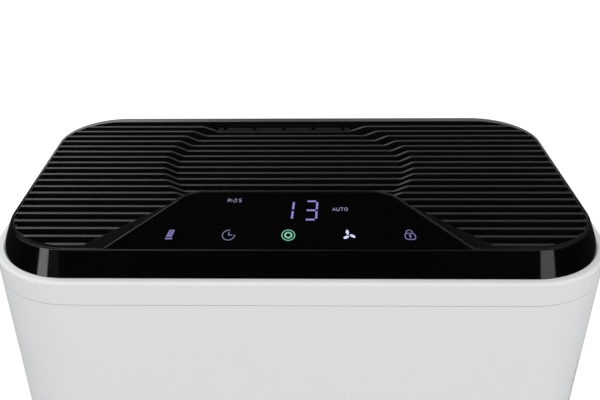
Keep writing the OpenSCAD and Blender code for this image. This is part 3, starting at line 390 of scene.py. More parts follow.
def surface(name, points, faces, sharp=35.0):
    """A mesh piece from arrays of points and faces, with its faces turned outwards and smooth shading."""
    mesh = bpy.data.meshes.new(name)
    mesh.from_pydata(np.asarray(points).reshape(-1, 3).tolist(), [], [list(f) for f in faces])
    work = bmesh.new()
    work.from_mesh(mesh)
    bmesh.ops.remove_doubles(work, verts=work.verts, dist=1e-7)
    bmesh.ops.recalc_face_normals(work, faces=work.faces)
    work.to_mesh(mesh)
    work.free()
    smooth_shade(mesh, sharp)
    piece = bpy.data.objects.new(name, mesh)
    bpy.context.scene.collection.objects.link(piece)
    return piece


net_mid = (net_low.y + net_high.y) / 2
inner_low = np.array([net_low.x + hem, net_low.z + hem])
inner_high = np.array([net_high.x - hem, net_high.z - hem])
net = surface("nylon_net", *joined([
    crossed(inner_low - hem / 2, inner_high + hem / 2, net_mid - thread / 2, 0),
    crossed(inner_low - hem / 2, inner_high + hem / 2, net_mid + thread / 2, 1),
    block((net_low.x, net_low.y, net_low.z), (net_low.x + hem, net_high.y, net_high.z)),
    block((net_high.x - hem, net_low.y, net_low.z), (net_high.x, net_high.y, net_high.z)),
    block((inner_low[0], net_low.y, net_low.z), (inner_high[0], net_high.y, net_low.z + hem)),
    block((inner_low[0], net_low.y, net_high.z - hem), (inner_high[0], net_high.y, net_high.z)),
]))
net_skin = moulded("nylon_thread", screen_rgb(70, 72, 76), 0.6, 3000.0, 0.00003)
settle(net, net_skin, "pre_filter", ("pre_filter_mesh",))

# ---- Filter cartridge ----
# Pleated glass-fibre paper glued into a card frame. Beads of hot glue hold the pleats apart,
# a carbon-loaded foam lies behind, and two woven ribbons pull it out.
card_skin = Skin("white_card")
fibres = card_skin.noise(900.0, 4.0, stretch=(1.0, 1.0, 0.15))
card_skin.feed("Base Color", fibres.blend(screen_rgb(208, 206, 198), screen_rgb(232, 230, 224)))
card_skin.feed("Roughness", fibres * 0.1 + 0.75)
card_skin.relief(fibres, 0.00005)
edged("filter_frame", card_skin, edge=0.3, split="convex")
pleat_low, pleat_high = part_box("filter_pleats")
pleat_count, paper_t = 40, 0.45 * mm
fold_pitch = (pleat_high.x - pleat_low.x) / pleat_count


def grid_faces(rows, columns, round_rows=True, round_columns=True):
    """Quads that join a grid of points, row by row; a round direction closes on itself."""
    r = np.arange(rows if round_rows else rows - 1)[:, None]
    c = np.arange(columns if round_columns else columns - 1)[None]
    r2, c2 = (r + 1) % rows, (c + 1) % columns
    return np.stack([r * columns + c, r2 * columns + c, r2 * columns + c2, r * columns + c2], -1).reshape(-1, 4)


def pleated(height_low, height_high, thick, inset):
    """A folded sheet: y swings between two sides as a triangle wave, its tips rounded by a sine and clipped."""
    steps = 16
    u = np.arange(pleat_count * steps + 1) / steps
    wave = np.abs((u % 1) * 2 - 1)
    soft = wave + 0.035 * np.sin(2 * math.pi * wave) * np.where(np.abs(wave - 0.5) > 0.25, 1, 0)
    x = pleat_low.x + u * fold_pitch
    y_low, y_high = pleat_low.y + inset, pleat_high.y - inset - thick
    y = y_high + (y_low - y_high) * np.clip(soft, 0.015, 0.985)
    corners = np.empty((len(u), 4, 3))
    corners[..., 0] = x[:, None]
    corners[..., 1] = y[:, None] + np.array([0, 0, thick, thick])
    corners[..., 2] = np.array([height_low, height_high, height_high, height_low])
    faces = grid_faces(len(u), 4, round_rows=False).tolist()
    faces += [[3, 2, 1, 0], list(range(4 * len(u) - 4, 4 * len(u)))]
    return corners.reshape(-1, 3), faces


paper = surface("filter_paper", *pleated(pleat_low.z, pleat_high.z, paper_t, 0.15 * mm), sharp=50.0)
paper_skin = Skin("glass_fibre_paper", Sheen_Weight=0.2)
felt = paper_skin.noise(1400.0, 5.0)
paper_skin.feed("Base Color", felt.blend(screen_rgb(222, 220, 210), screen_rgb(240, 239, 232)))
paper_skin.feed("Roughness", felt * 0.1 + 0.85)
paper_skin.relief(felt, 0.00006)
settle(paper, paper_skin, "cartridge", ("filter_pleats",))
bead_count, bead_half, bead_t = 7, 0.7 * mm, 0.3 * mm
glue = surface("glue_beads", *joined([
    pleated(z - bead_half, z + bead_half, paper_t + bead_t, 0)
    for z in np.linspace(pleat_low.z, pleat_high.z, bead_count + 2)[1:-1]]), sharp=50.0)
glue_skin = Skin("hot_glue", Roughness=0.3, IOR=1.48)
glue_skin.feed("Base Color", glue_skin.noise(120.0).blend(screen_rgb(232, 229, 214), screen_rgb(244, 243, 234)))
settle(glue, glue_skin, "cartridge", ("filter_pleats",))
carbon_skin = Skin("carbon_foam")
grains = carbon_skin.cells(420.0)
# The foam's own colour is dark grey; the darkening from the grain tops down into the low gaps between them is
# painted shade that follows the relief.
carbon_skin.feed("Base Color", grains.between(0.1, 0.7).blend(screen_rgb(56, 56, 58), screen_rgb(18, 18, 19)))
carbon_skin.feed("Roughness", grains * 0.2 + 0.6)
carbon_skin.relief(grains, -0.0006)
finish_node("carbon_sheet", carbon_skin)
ribbon_skin = Skin("woven_ribbon", Sheen_Weight=0.3)
weft = ribbon_skin.wire.node(
    "TexWave", {"bands_direction": "Z"}, {"Vector": ribbon_skin.place, "Scale": 330.0, "Distortion": 0.4})
ribbon_skin.feed("Base Color", weft.blend(screen_rgb(58, 84, 130), screen_rgb(84, 114, 166)))
ribbon_skin.feed("Roughness", weft * 0.1 + 0.8)
ribbon_skin.relief(weft, 0.0001)
finish_node("pull_tabs", ribbon_skin)

# ---- Filter bay ----
# An off-white moulded box that takes the filters, on a plate that divides the casing.
# A foam seal lies round its back, and the cover's catch plates sit on its front edge.
bay_skin = moulded("bay_plastic", screen_rgb(228, 227, 222), 0.5, 1200.0, 0.00005)
edged("filter_bay", bay_skin, edge=0.4, split="triangles")
foam_skin = Skin("foam_rubber")
pores = foam_skin.cells(900.0)
# Painted shade: the sunken pits of the pores are coloured darker than the foam around them, following the relief.
foam_skin.feed("Base Color", pores.blend(screen_rgb(30, 30, 31), screen_rgb(62, 62, 63)))
foam_skin.feed("Roughness", pores * 0.1 + 0.85)
foam_skin.relief(pores, 0.0003)
finish_node("bay_seal", foam_skin)
reed_skin = moulded("white_moulding", screen_rgb(222, 222, 218), 0.35, 1500.0, 0.00002)
edged("reed_switch", reed_skin, edge=0.4)

# ---- Fan and scroll ----
# A forward-curved wheel of glass-filled plastic sucks the air through a guarded hole
# and a spiral housing in two halves throws it up the duct to the louvres.
for node in ("inlet_guard", "scroll_front", "scroll_back"):
    edged(node, dark_skin, edge=0.4)
finish_node("outlet_duct", dark_skin)
wheel_skin = moulded("glass_filled_plastic", screen_rgb(92, 93, 96), 0.42, 700.0, 0.00005, mottle=0.12)
edged("fan_wheel", wheel_skin, edge=0.25, steps=1, split="convex")
brass_skin = metal("turned_brass", screen_rgb(206, 172, 98), 0.28, (40, 2000, 40))
edged("wheel_nut", brass_skin, edge=0.6)

# ---- Motor ----
# A brushless motor in a die-cast can, hung on three rubber bushes behind the scroll.
# Its ground steel shaft runs in two bearings and carries the wheel.
ground_skin = metal("ground_steel", screen_rgb(205, 206, 208), 0.16, (60, 3000, 60))
edged("motor_shaft", ground_skin, edge=0.4)
laminated_skin = metal("rotor_laminations", screen_rgb(120, 120, 124), 0.4, (30, 2400, 30), depth=0.00006)
edged("motor_rotor", laminated_skin, edge=0.3)
copper_skin = metal("enamelled_copper", screen_rgb(186, 104, 58), 0.32, (200, 1600, 200), depth=0.0001)
edged("motor_stator", copper_skin, edge=0.4)
cast_skin = metal("die_cast_aluminium", screen_rgb(178, 180, 183), 0.46, (500, 500, 500), depth=0.00006)
edged("motor_can", cast_skin, edge=0.5, split="convex")
bearing_skin = metal("bearing_steel", screen_rgb(214, 215, 217), 0.12, (80, 80, 80))
edged("motor_bearings", bearing_skin, edge=0.4)
edged("motor_bushes", rubber_skin, edge=0.4)
edged("motor_screws", steel_skin, edge=0.3)

# ---- Dust sensor and electrics ----
# A dust sensor sniffs behind a slotted door in the right side. A power board sits in a tray
# in the base, and its wires run in sleeves to the console, the motor and the mains inlet.
sensor_skin = moulded("sensor_housing", screen_rgb(66, 68, 71), 0.48, 1300.0, 0.00005)
edged("dust_sensor", sensor_skin, edge=0.4)
edged("board_tray", dark_skin, edge=0.4, split="convex")
edged("console_box", dark_skin, edge=0.3)
board_skin = Skin("solder_mask", Roughness=0.3, Coat_Weight=0.25)
tracks = board_skin.wire.node("TexBrick", {"offset": 0.5}, {
    "Vector": board_skin.place, "Scale": 90.0, "Mortar Size": 0.06,
    "Color1": (0, 0, 0, 1), "Color2": (0.25, 0.25, 0.25, 1), "Mortar": (1, 1, 1, 1)})
board_skin.feed("Base Color", tracks.blend(screen_rgb(20, 78, 44), screen_rgb(44, 118, 72)))
board_skin.relief(tracks, 0.00004)
edged("power_board", board_skin, edge=0.15, steps=1)
edged("control_board", board_skin, edge=0.15, steps=1)
parts_skin = moulded("component_bodies", screen_rgb(58, 58, 62), 0.3, 800.0, 0.00002, mottle=0.2)
edged("board_parts", parts_skin, edge=0.6)
edged("inlet_pins", brass_skin, edge=0.35)
sleeve_skin = Skin("pvc_sleeve")
braid = sleeve_skin.noise(700.0, 3.0, stretch=(1.0, 1.0, 0.3))
sleeve_skin.feed("Base Color", braid.blend(screen_rgb(34, 34, 36), screen_rgb(56, 56, 60)))
sleeve_skin.feed("Roughness", braid * 0.15 + 0.45)
sleeve_skin.relief(braid, 0.00012)
finish_node("wiring_harness", sleeve_skin)
display_skin = moulded("display_face", screen_rgb(24, 24, 27), 0.28, 600.0, 0.00001)
edged("digit_display", display_skin, edge=0.4)
edged("touch_pads", foam_skin, edge=0.4)
led_skin = moulded("led_moulding", screen_rgb(232, 230, 216), 0.25, 500.0, 0.00001)
edged("key_leds", led_skin, edge=0.25)

# ---- Lid band ----
# The gloss black frame of the lid, moulded in one piece. It flares out to its foot,
# and its top edge is a small round that catches the light.
lid_low, lid_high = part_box("lid_band")
flare, lid_radius = 7 * mm, 45 * mm
band_top, band_foot = lid_high.z, lid_low.z
band_h = band_top - band_foot
lid_half = np.array([lid_high.x - flare, lid_high.y - flare])
rim_in, top_t = 1.6 * mm, 2.0 * mm


def arc(centre, radius, start, end, steps):
    """Points on a circle from one angle to another, in degrees."""
    t = np.radians(np.linspace(start, end, steps + 1))
    return np.c_[centre[0] + radius * np.cos(t), centre[1] + radius * np.sin(t)]


def rounded_path(half, radius, turns=28, stride=0.015):
    """Points round a rounded rectangle and the way out at each: quarter circles, and straights in strides."""
    points, outs = [], []
    for quarter in range(4):
        side = np.array([[1, 1], [-1, 1], [-1, -1], [1, -1]][quarter])
        t = np.linspace(0, np.pi / 2, turns + 1) + quarter * np.pi / 2
        out = np.c_[np.cos(t), np.sin(t)]
        points.append(side * (half - radius) + radius * out)
        outs.append(out)
        length = 2 * (half - radius)[0 if quarter % 2 == 0 else 1]
        cuts = max(2, int(length / stride))
        run = np.linspace(0, 1, cuts + 1)[1:-1, None] * length * np.array([-out[-1][1], out[-1][0]])
        points.append(points[-1][-1] + run)
        outs.append(np.repeat(out[-1:], len(run), 0))
    return np.concatenate(points), np.concatenate(outs)


def swept(path, outs, profile):
    """A profile carried along a path: path point plus way out times the profile's x, at the profile's height."""
    flat = path[:, None] + outs[:, None] * profile[None, :, :1]
    return np.concatenate([flat, np.broadcast_to(profile[None, :, 1:], (*flat.shape[:2], 1))], 2)


gloss_skin = Skin("gloss_black_abs", Roughness=0.07, Specular_IOR_Level=0.5, IOR=1.5)
gloss_skin.feed("Base Color", gloss_skin.noise(30.0).blend(
    (0.0009, 0.0009, 0.0010, 1), (0.0015, 0.0015, 0.0016, 1)))
gloss_skin.feed("Roughness", gloss_skin.noise(60.0, 4.0) * 0.05 + gloss_skin.noise(900.0) * 0.02 + 0.045)
gloss_skin.relief(gloss_skin.noise(260.0, 2.0), 0.0000012)
band_t, round_r, foot_r, inner_r = 2.6 * mm, 0.28 * mm, 0.4 * mm, 0.15 * mm
ledge_in, ledge_drop = rim_in + 0.6 * mm, 5 * mm
band_profile = np.concatenate([
    [[flare - band_t, 0]],
    arc((flare - foot_r, foot_r), foot_r, -90, 22, 5),
    arc((-round_r, band_h - round_r), round_r, 22, 90, 9),
    arc((-rim_in + inner_r, band_h - inner_r), inner_r, 90, 180, 3),
    [[-rim_in, band_h - top_t], [-ledge_in, band_h - top_t], [-ledge_in, band_h - top_t - ledge_drop]],
]) + [0, band_foot]
path, outs = rounded_path(lid_half, lid_radius)
band = surface("lid_frame", swept(path, outs, band_profile), grid_faces(len(path), len(band_profile)))
even_normals(band)
settle(band, gloss_skin, "body", ("lid_band",))

# ---- Outlet border ----
# The flat top rim round the louvres, with two slanting strips that flank the console.
# It is one moulding with the louvres and drops into the band.
console_x = -6.5 * mm
field_half, field_radius = lid_half - [2 * mm, 7 * mm], 40 * mm
field_front = field_half[1] + 1.3 * mm
lens_front_y = -lid_half[1] + rim_in
lens_front, lens_back = 111.5 * mm, 67.5 * mm
lens_depth, shoulder_r = 71 * mm, 22 * mm
lens_back_y = lens_front_y + lens_depth
lens_gap, pocket_wall, strip_wall, strip_seat, blade_seat = (t * mm for t in (0.15, 1.05, 1.0, 0.3, 0.1))
strip_half = lens_front + 12.5 * mm
meet_y = lens_front_y + 52 * mm
lens_turn = math.degrees(math.atan2(lens_depth, lens_front - lens_back))
shoulder_x = lens_back - shoulder_r * math.tan(math.radians(lens_turn / 2))


def lens_side(y):
    """Half the lens's width along its straight side, which narrows evenly to the back."""
    return lens_front + (lens_back - lens_front) * (y - lens_front_y) / lens_depth


def lens_back_edge(grow):
    """The lens's two rounded shoulders and the straight back between them, from right to left."""
    return np.concatenate([
        arc((console_x + shoulder_x, lens_back_y - shoulder_r), shoulder_r + grow, 90 - lens_turn, 90, 16),
        arc((console_x - shoulder_x, lens_back_y - shoulder_r), shoulder_r + grow, 90, 90 + lens_turn, 16),
    ])


def front_to_front(half, radius, right_x, left_x):
    """A rounded rectangle's outline from a point on its front edge, round by the back, to another one."""
    ring, _ = rounded_path(half, radius)
    on_front = np.abs(ring[:, 1] + half[1]) < 1e-6
    keep = ~(on_front & (ring[:, 0] > left_x - 1e-4) & (ring[:, 0] < right_x + 1e-4))
    kept = ring[keep]
    first = np.argmin(np.hypot(kept[:, 0] - right_x, kept[:, 1] + half[1]))
    kept = np.roll(kept, -first, 0)
    return np.concatenate([[[right_x, -half[1]]], kept, [[left_x, -half[1]]]])


def plate(name, loops, low, high, bevel):
    """A flat plate cut to closed outlines, its edges rounded: a filled curve with a thickness, made a mesh."""
    curve = bpy.data.curves.new(name, "CURVE")
    curve.dimensions, curve.fill_mode = "2D", "BOTH"
    for loop in loops:
        spline = curve.splines.new("POLY")
        spline.points.add(len(loop) - 1)
        spline.points.foreach_set("co", np.c_[loop, np.zeros(len(loop)), np.ones(len(loop))].ravel())
        spline.use_cyclic_u = True
    curve.extrude, curve.bevel_depth = (high - low) / 2 - bevel, bevel
    curve.bevel_resolution, curve.offset = 2, -bevel
    flat = bpy.data.objects.new(name, curve)
    mesh = bpy.data.meshes.new_from_object(flat)
    bpy.data.objects.remove(flat)
    mesh.transform(Matrix.Translation((0, 0, (low + high) / 2)))
    work = bmesh.new()
    work.from_mesh(mesh)
    bmesh.ops.remove_doubles(work, verts=work.verts, dist=weld)
    bmesh.ops.recalc_face_normals(work, faces=work.faces)
    work.to_mesh(mesh)
    work.free()
    smooth_shade(mesh, 50.0)
    mesh.name = name
    piece = bpy.data.objects.new(name, mesh)
    bpy.context.scene.collection.objects.link(piece)
    even_normals(piece)
    return piece


meet_half = lens_side(meet_y) + strip_wall
pocket_half = lens_front + lens_gap
opening_half = np.array([field_half[0], (field_half[1] + field_front) / 2])
opening = np.concatenate([
    front_to_front(opening_half, field_radius, console_x + strip_half, console_x - strip_half)
    + [0, (field_half[1] - field_front) / 2],
    [[console_x - meet_half, meet_y]],
    lens_back_edge(lens_gap + pocket_wall)[::-1],
    [[console_x + meet_half, meet_y]],
])
rim_outline = np.concatenate([
    front_to_front(lid_half - rim_in, lid_radius - rim_in, console_x + pocket_half, console_x - pocket_half),
    lens_back_edge(lens_gap)[::-1],
])
border_skin = Skin("border_black_abs", IOR=1.5)
border_skin.feed("Base Color", border_skin.noise(30.0).blend(
    (0.0024, 0.0024, 0.0026, 1), (0.0036, 0.0036, 0.0039, 1)))
border_skin.feed("Roughness", border_skin.noise(80.0, 3.0) * 0.05 + 0.08)
border_skin.relief(border_skin.noise(1200.0, 2.0), 0.000004)
border = plate("outlet_border", [rim_outline, opening], band_top - top_t, band_top, 0.18 * mm)
settle(border, border_skin, "body", ("top_grille",))

# ---- Louvres ----
# Twenty thin upright blades that run from side to side. Their tops step down
# into a round dish, and the console cuts the front ones short.
blade_count, pitch = 20, 9.2 * mm
blade_t, blade_h, blade_round, blade_taper = 2.4 * mm, 11 * mm, 0.55 * mm, 0.3 * mm
dish_y, dish_r, dish_step, dish_depth, dish_soft = 20.4 * mm, 90.6 * mm, 8 * mm, 4 * mm, 0.9 * mm
drift, drift_from = 0.13, 45 * mm
first_blade = field_half[1] - pitch


def dish_x(y):
    """The middle of the dish at a depth: straight behind the console, then drawn to the left at the back."""
    return console_x - drift * max(y - drift_from, 0)


def dish(x, y):
    """How far the louvre tops are lowered: none outside the rim, all inside, an even softened slope between."""
    reach = np.hypot(x - dish_x(y), y - dish_y)
    soften = np.linspace(-dish_soft, dish_soft, 7)[:, None]
    return dish_depth * np.clip((dish_r - reach[None] + soften) / dish_step, 0, 1).mean(0)


def half_field(y):
    """Half the louvre field's width at a depth, inside its rounded corners."""
    over = np.maximum(np.abs(y) - ((field_half[1] if y > 0 else field_front) - field_radius), 0)
    return field_half[0] - field_radius + np.sqrt(np.maximum(field_radius**2 - over**2, 0))


def console_reach(y):
    """Half the width that the console and its strips take from a blade at a depth, nothing behind the lens."""
    if y > lens_back_y + strip_wall:
        return 0
    if y > lens_back_y - shoulder_r * (1 - math.cos(math.radians(lens_turn))):
        return shoulder_x + math.sqrt((shoulder_r + strip_wall) ** 2 - (y - lens_back_y + shoulder_r) ** 2)
    if y > meet_y:
        return lens_side(y) + strip_wall + blade_seat
    share = (y + field_front) / (meet_y + field_front)
    return strip_half + (meet_half - strip_half) * share - strip_seat


blade_profile = np.concatenate([
    arc((blade_t / 2 - blade_round, -blade_round), blade_round, 0, 90, 4),
    arc((-blade_t / 2 + blade_round, -blade_round), blade_round, 90, 180, 4),
    [[-blade_t / 2 + blade_taper, -blade_h], [blade_t / 2 - blade_taper, -blade_h]],
])
on_top = blade_profile[:, 1] > -blade_h / 2


def blade(y, left, right):
    """One blade: its profile carried along x, with the top points lowered by the dish."""
    beside = 3 * mm
    dense = dish_x(y) + np.linspace(-dish_r - beside, dish_r + beside, 140)
    off_slope = np.abs(np.hypot(dense - dish_x(y), y - dish_y) - dish_r + dish_step / 2)
    dense = dense[off_slope < dish_step / 2 + beside]
    dense = dense[(dense > left + 0.1 * mm) & (dense < right - 0.1 * mm)]
    x = np.unique(np.concatenate([np.linspace(left, right, 12), dense]))
    points = np.empty((len(x), len(blade_profile), 3))
    points[..., 0] = x[:, None]
    points[..., 1] = y + blade_profile[:, 0]
    points[..., 2] = band_top + blade_profile[:, 1] - np.where(on_top, dish(x, y)[:, None], 0)
    count = len(blade_profile)
    faces = grid_faces(len(x), count, round_rows=False).tolist()
    faces += [list(range(count)), list(range((len(x) - 1) * count, len(x) * count))]
    return points.reshape(-1, 3), faces


rows = []
for row in range(blade_count):
    y = first_blade - row * pitch
    end, cut = half_field(y) + blade_seat, console_reach(y)
    if cut:
        rows += [blade(y, -end, console_x - cut), blade(y, console_x + cut, end)]
    else:
        rows.append(blade(y, -end, end))
louvres = surface("louvre_blades", *joined(rows), sharp=50.0)
even_normals(louvres)
louvre_skin = Skin("louvre_black_abs", IOR=1.5)
louvre_skin.feed("Base Color", louvre_skin.noise(20.0).blend(
    (0.0022, 0.0022, 0.0023, 1), (0.0040, 0.0040, 0.0042, 1)))
louvre_skin.feed("Roughness", louvre_skin.noise(70.0, 3.0) * 0.1 + 0.3)
louvre_skin.relief(louvre_skin.noise(1500.0, 2.0), 0.000006)
settle(louvres, louvre_skin, "body", ("top_grille",))

# ---- Louvre surround ----
# A thin wall hangs from the border all round, ribs tie the blades together from below,
# and a broad sill with five drain notches closes the dish at its back.
skirt_profile = np.array([[-0.85, -2], [0.15, -2], [0.15, -11], [-0.85, -11]]) * mm + [0, band_top]
path, outs = rounded_path(field_half, field_radius)
skirt = surface("outlet_skirt", swept(path, outs, skirt_profile), grid_faces(len(path), 4))
settle(skirt, louvre_skin, "body", ("top_grille",))
rib_pitch, rib_half = 46 * mm, 0.9 * mm
rib_low, rib_high = band_top - blade_h, band_top - 7.5 * mm
rib_fronts = (lens_back_y + 1 * mm, lens_back_y + 1 * mm, meet_y + 14 * mm, -field_half[1] + 3 * mm)
rib_blocks = []
for place in range(-3, 4):
    x = console_x + place * rib_pitch
    back_gap = (3 if abs(x) < 0.13 else 8) * mm
    rib_blocks.append(block((x - rib_half, rib_fronts[abs(place)], rib_low),
                            (x + rib_half, field_half[1] - back_gap, rib_high)))
ribs = surface("louvre_ribs", *joined(rib_blocks))
settle(ribs, louvre_skin, "body", ("top_grille",))
sill_half, sill_depth, sill_t = 53.6 * mm, 8.4 * mm, 2 * mm
notch_pitch, notch_half = 24 * mm, 1.5 * mm
sill_edge = [[-sill_half, 0], [sill_half, 0], [sill_half, sill_depth]]
for place in range(2, -3, -1):
    x = place * notch_pitch
    sill_edge += [[x + notch_half, sill_depth], [x + notch_half, sill_depth / 2],
                  [x - notch_half, sill_depth / 2], [x - notch_half, sill_depth]]
sill_edge.append([-sill_half, sill_depth])
sill_top = band_top - dish_depth
sill_place = [dish_x(first_blade), first_blade - blade_t]
sill = plate("dish_sill", [np.array(sill_edge) + sill_place], sill_top - sill_t, sill_top, 0.35 * mm)
sill_skin = Skin("sill_black_abs", Specular_IOR_Level=0.25)
sill_skin.feed("Base Color", sill_skin.noise(20.0).blend(
    (0.0040, 0.0040, 0.0042, 1), (0.0070, 0.0070, 0.0074, 1)))
sill_skin.feed("Roughness", sill_skin.noise(70.0, 3.0) * 0.1 + 0.4)
settle(sill, sill_skin, "body", ("top_grille",))

# ---- Console lens ----
# A dark tinted acrylic panel, polished on top, with a fine chamfer round its edge.
# The signs under it show only where they are lit.
lens_skin = Skin("tinted_acrylic", IOR=1.49)
lens_skin.feed("Base Color", lens_skin.noise(12.0).blend(
    (0.0008, 0.0008, 0.0009, 1), (0.0013, 0.0013, 0.0014, 1)))
lens_skin.feed("Roughness", lens_skin.noise(25.0, 4.0) * 0.03 + 0.02)
sign_t = 0.03 * mm
lens_sine = math.sin(math.radians(lens_turn))


def lens_ring(inset, drop):
    """The lens's outline drawn in from its sides and back by an inset, at a drop below the lid's top."""
    front, y = lens_front - inset / lens_sine, lens_front_y + 0.05 * mm
    flat = np.concatenate([[[console_x - front, y], [console_x + front, y]], lens_back_edge(-inset)])
    return np.c_[flat, np.full(len(flat), band_top - drop)]


chamfer = [(1.0, 0.0), (0.75, 0.045), (0.45, 0.14), (0.2, 0.26), (0.05, 0.40), (0.0, 0.6), (0.0, 2.0)]
rings = np.array([lens_ring(inset * mm, drop * mm + (sign_t if drop < 2 else 0)) for inset, drop in chamfer])
ring_n = rings.shape[1]
lens = surface("console_panel", rings, [
    list(range(ring_n)), *grid_faces(len(rings), ring_n, round_rows=False).tolist(),
    list(range((len(rings) - 1) * ring_n, len(rings) * ring_n))[::-1]], sharp=28.0)
even_normals(lens)
settle(lens, lens_skin, "body", ("console_lens",))

# ---- Console signs ----
# Lit signs that shine through the lens: two seven-segment digits, five touch keys and two labels.
# Each is a thin bright film. They are drawn deeper than wide, to read well from the front.
sign_deep = 1.5


def on_lens(flat, middle):
    """Points of a sign as seen, in millimetres, put on the lens round a middle and drawn out in depth."""
    return np.asarray(flat, float) * [mm, sign_deep * mm] + np.array(middle) * mm


def film(left, right, closed):
    """A thin solid between two matching rows of points, closed on itself or capped at both ends."""
    rings = np.stack([np.c_[edge, np.full(len(edge), z)] for edge, z in (
        (left, band_top), (right, band_top), (right, band_top - 2 * sign_t), (left, band_top - 2 * sign_t))], 1)
    faces = grid_faces(len(rings), 4, round_rows=closed).tolist()
    if not closed:
        faces += [[3, 2, 1, 0], list(range(4 * len(rings) - 4, 4 * len(rings)))]
    return rings.reshape(-1, 3), faces


def stroke(path, width, middle, closed=False):
    """A line of one width: where two stretches meet, their mean normal m is lengthened to m / |m|^2."""
    path = np.asarray(path, float)
    ahead = np.roll(path, -1, 0) - path
    if not closed:
        ahead[-1] = ahead[-2]
    normal = np.c_[-ahead[:, 1], ahead[:, 0]] / np.hypot(ahead[:, 0], ahead[:, 1])[:, None]
    before = np.roll(normal, 1, 0)
    if not closed:
        before[0] = normal[0]
    mean, least = (normal + before) / 2, 0.4
    mean = mean / np.maximum((mean**2).sum(1), least)[:, None] * width / 2
    return film(on_lens(path + mean, middle), on_lens(path - mean, middle), closed)


def oval(centre, half_long, half_wide, lean, middle):
    """A filled oval: two rows of points mirrored on its long axis, which leans by an angle in degrees."""
    tip, a = 0.06, math.radians(lean)
    t = np.linspace(tip, np.pi - tip, 15)
    along, across = np.array([math.cos(a), math.sin(a)]), np.array([-math.sin(a), math.cos(a)])
    spine = np.array(centre) + np.cos(t)[:, None] * half_long * along
    reach = np.sin(t)[:, None] * half_wide * across
    return film(on_lens(spine + reach, middle), on_lens(spine - reach, middle), False)


def circle(radius, start=0.0, end=360.0, centre=(0, 0)):
    """Points of a circle or a part of one; a whole circle leaves its last point out."""
    steps = max(6, int(abs(end - start) / 9))
    points = arc(centre, radius, start, end, steps)
    return points[:-1] if end - start == 360 else points


def digit(lit, middle, width=7.4, height=15.7, slant=0.09, bar=1.3, gap=0.85):
    """The lit bars of a seven-segment digit that leans to the right by slant for each unit of height."""
    half = height / 2
    ends = {"top": ((gap, height), (width - gap, height)), "mid": ((gap, half), (width - gap, half)),
            "low": ((gap, 0), (width - gap, 0)), "right_top": ((width, height - gap), (width, half + gap)),
            "right_low": ((width, half - gap), (width, gap))}
    lean = np.array([[1, 0], [slant, 1]])
    return [stroke(np.array(ends[name]) @ lean, bar, middle) for name in lit]


def lettered(word, middle, width, height, space, line):
    """A short word in plain strokes, each letter drawn on a unit square and set side by side."""
    shapes = {
        "A": [[(0, 0), (0.5, 1), (1, 0)], [(0.2, 0.33), (0.8, 0.33)]],
        "U": [[(0, 1), (0, 0.35), (0.14, 0.1), (0.5, 0), (0.86, 0.1), (1, 0.35), (1, 1)]],
        "T": [[(0, 1), (1, 1)], [(0.5, 1), (0.5, 0)]],
        "O": [circle(0.5, centre=(0.5, 0.5))],
        "P": [[(0, 0), (0, 1), (0.7, 1), (1, 0.86), (1, 0.6), (0.7, 0.45), (0, 0.45)]],
        "M": [[(0, 0), (0.08, 1), (0.5, 0.12), (0.92, 1), (1, 0)]],
        "2": [[(0, 0.82), (0.25, 1), (0.75, 1), (1, 0.8), (0.95, 0.58), (0, 0), (1, 0)]],
        "5": [[(1, 1), (0.1, 1), (0.04, 0.55), (0.65, 0.6), (1, 0.42), (1, 0.2), (0.7, 0), (0, 0.04)]],
        ".": [[(0.4, 0), (0.6, 0)]],
    }
    parts, x = [], 0.0
    for letter in word:
        wide = width * (0.5 if letter == "." else 1.6 if letter == "M" else 1)
        for path in shapes[letter]:
            parts.append(stroke(np.asarray(path) * [wide, height] + [x, 0], line, middle, closed=letter == "O"))
        x += wide + space
    return parts


def lit(name, colour, parts, slot="led"):
    """A lit film of one colour, a little brighter in places."""
    skin = Skin(name, Roughness=0.3, Emission_Strength=1.0)
    core = tuple(min(1.0, 1.25 * c) for c in colour[:3]) + (1,)
    skin.feed("Base Color", skin.noise(400.0).blend((0.01, 0.01, 0.012, 1), (0.02, 0.02, 0.022, 1)))
    skin.feed("Emission Color", skin.noise(300.0).blend(colour, core))
    settle(surface(name, *joined(parts)), skin, "body")


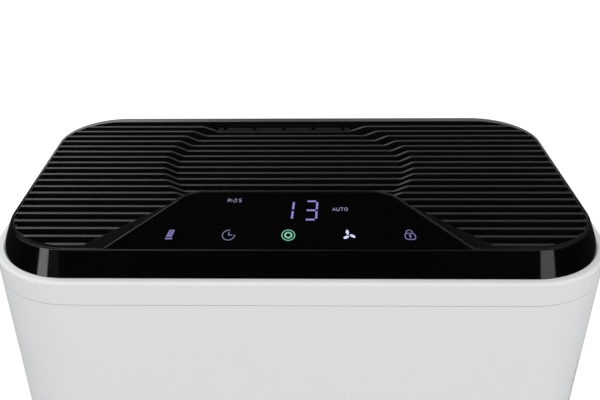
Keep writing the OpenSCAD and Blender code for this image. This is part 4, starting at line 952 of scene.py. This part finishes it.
key_y = -82.0
lit("digits_lit", screen_rgb(132, 120, 202), [
    *digit(("right_top", "right_low"), (-11.4, -63.5)),
    *digit(("top", "mid", "low", "right_top", "right_low"), (4.1, -63.5))], slot="display")
clock_at, power_at, fan_at = (-42.9, key_y), (-6.0, key_y), (31.3, key_y)
lock_at, filter_at = (68.8, key_y + 0.5), (-79.3, key_y + 0.5)
lit("clock_sign", screen_rgb(110, 108, 142), [
    stroke(circle(3.8, 82, 362), 0.55, clock_at), stroke([(0, 2.4), (0, 0), (2.3, 0)], 0.6, clock_at)])
lit("power_sign", screen_rgb(112, 190, 156), [
    stroke(circle(3.95), 0.55, power_at, closed=True), stroke(circle(2.0), 1.05, power_at, closed=True)])
fan_out = 2.35
lit("fan_sign", screen_rgb(206, 204, 244), [
    oval((fan_out * math.cos(math.radians(a)), fan_out * math.sin(math.radians(a))), 1.9, 0.95, a - 14, fan_at)
    for a in (108, 222, 344)])
lit("lock_sign", screen_rgb(108, 104, 152), [
    stroke(rounded_path(np.array([3.1, 2.3]), 1.6, 6, 3.0)[0] + [0, -1.2], 0.6, lock_at, closed=True),
    stroke([(-2.0, 1.1), *circle(2.0, 180, 0, centre=(0, 1.6)), (2.0, 1.1)], 0.55, lock_at),
    oval((0, -0.6), 0.85, 0.75, 90, lock_at), stroke([(0, -1.1), (0, -2.6)], 0.6, lock_at)])
lit("filter_sign", screen_rgb(112, 105, 162), [
    stroke([(-1.5 + s, -2.0), (-1.7 + s, -0.8), (-1.0 + s, 0.5), (-1.2 + s, 1.6), (-0.6 + s, 2.7)], 0.85, filter_at)
    for s in (0.0, 1.3, 2.6)] + [stroke([(-2.3, -3.1), (2.0, -3.1)], 1.0, filter_at),
                                 stroke([(-1.1, 3.3), (2.2, 3.3)], 0.7, filter_at)])
lit("labels_lit", screen_rgb(134, 134, 166), [
    *lettered("PM2.5", (-46.7, -40.9), 1.35, 2.7, 0.5, 0.42),
    *lettered("AUTO", (22.4, -52.3), 1.95, 2.6, 0.7, 0.42)], slot="display")
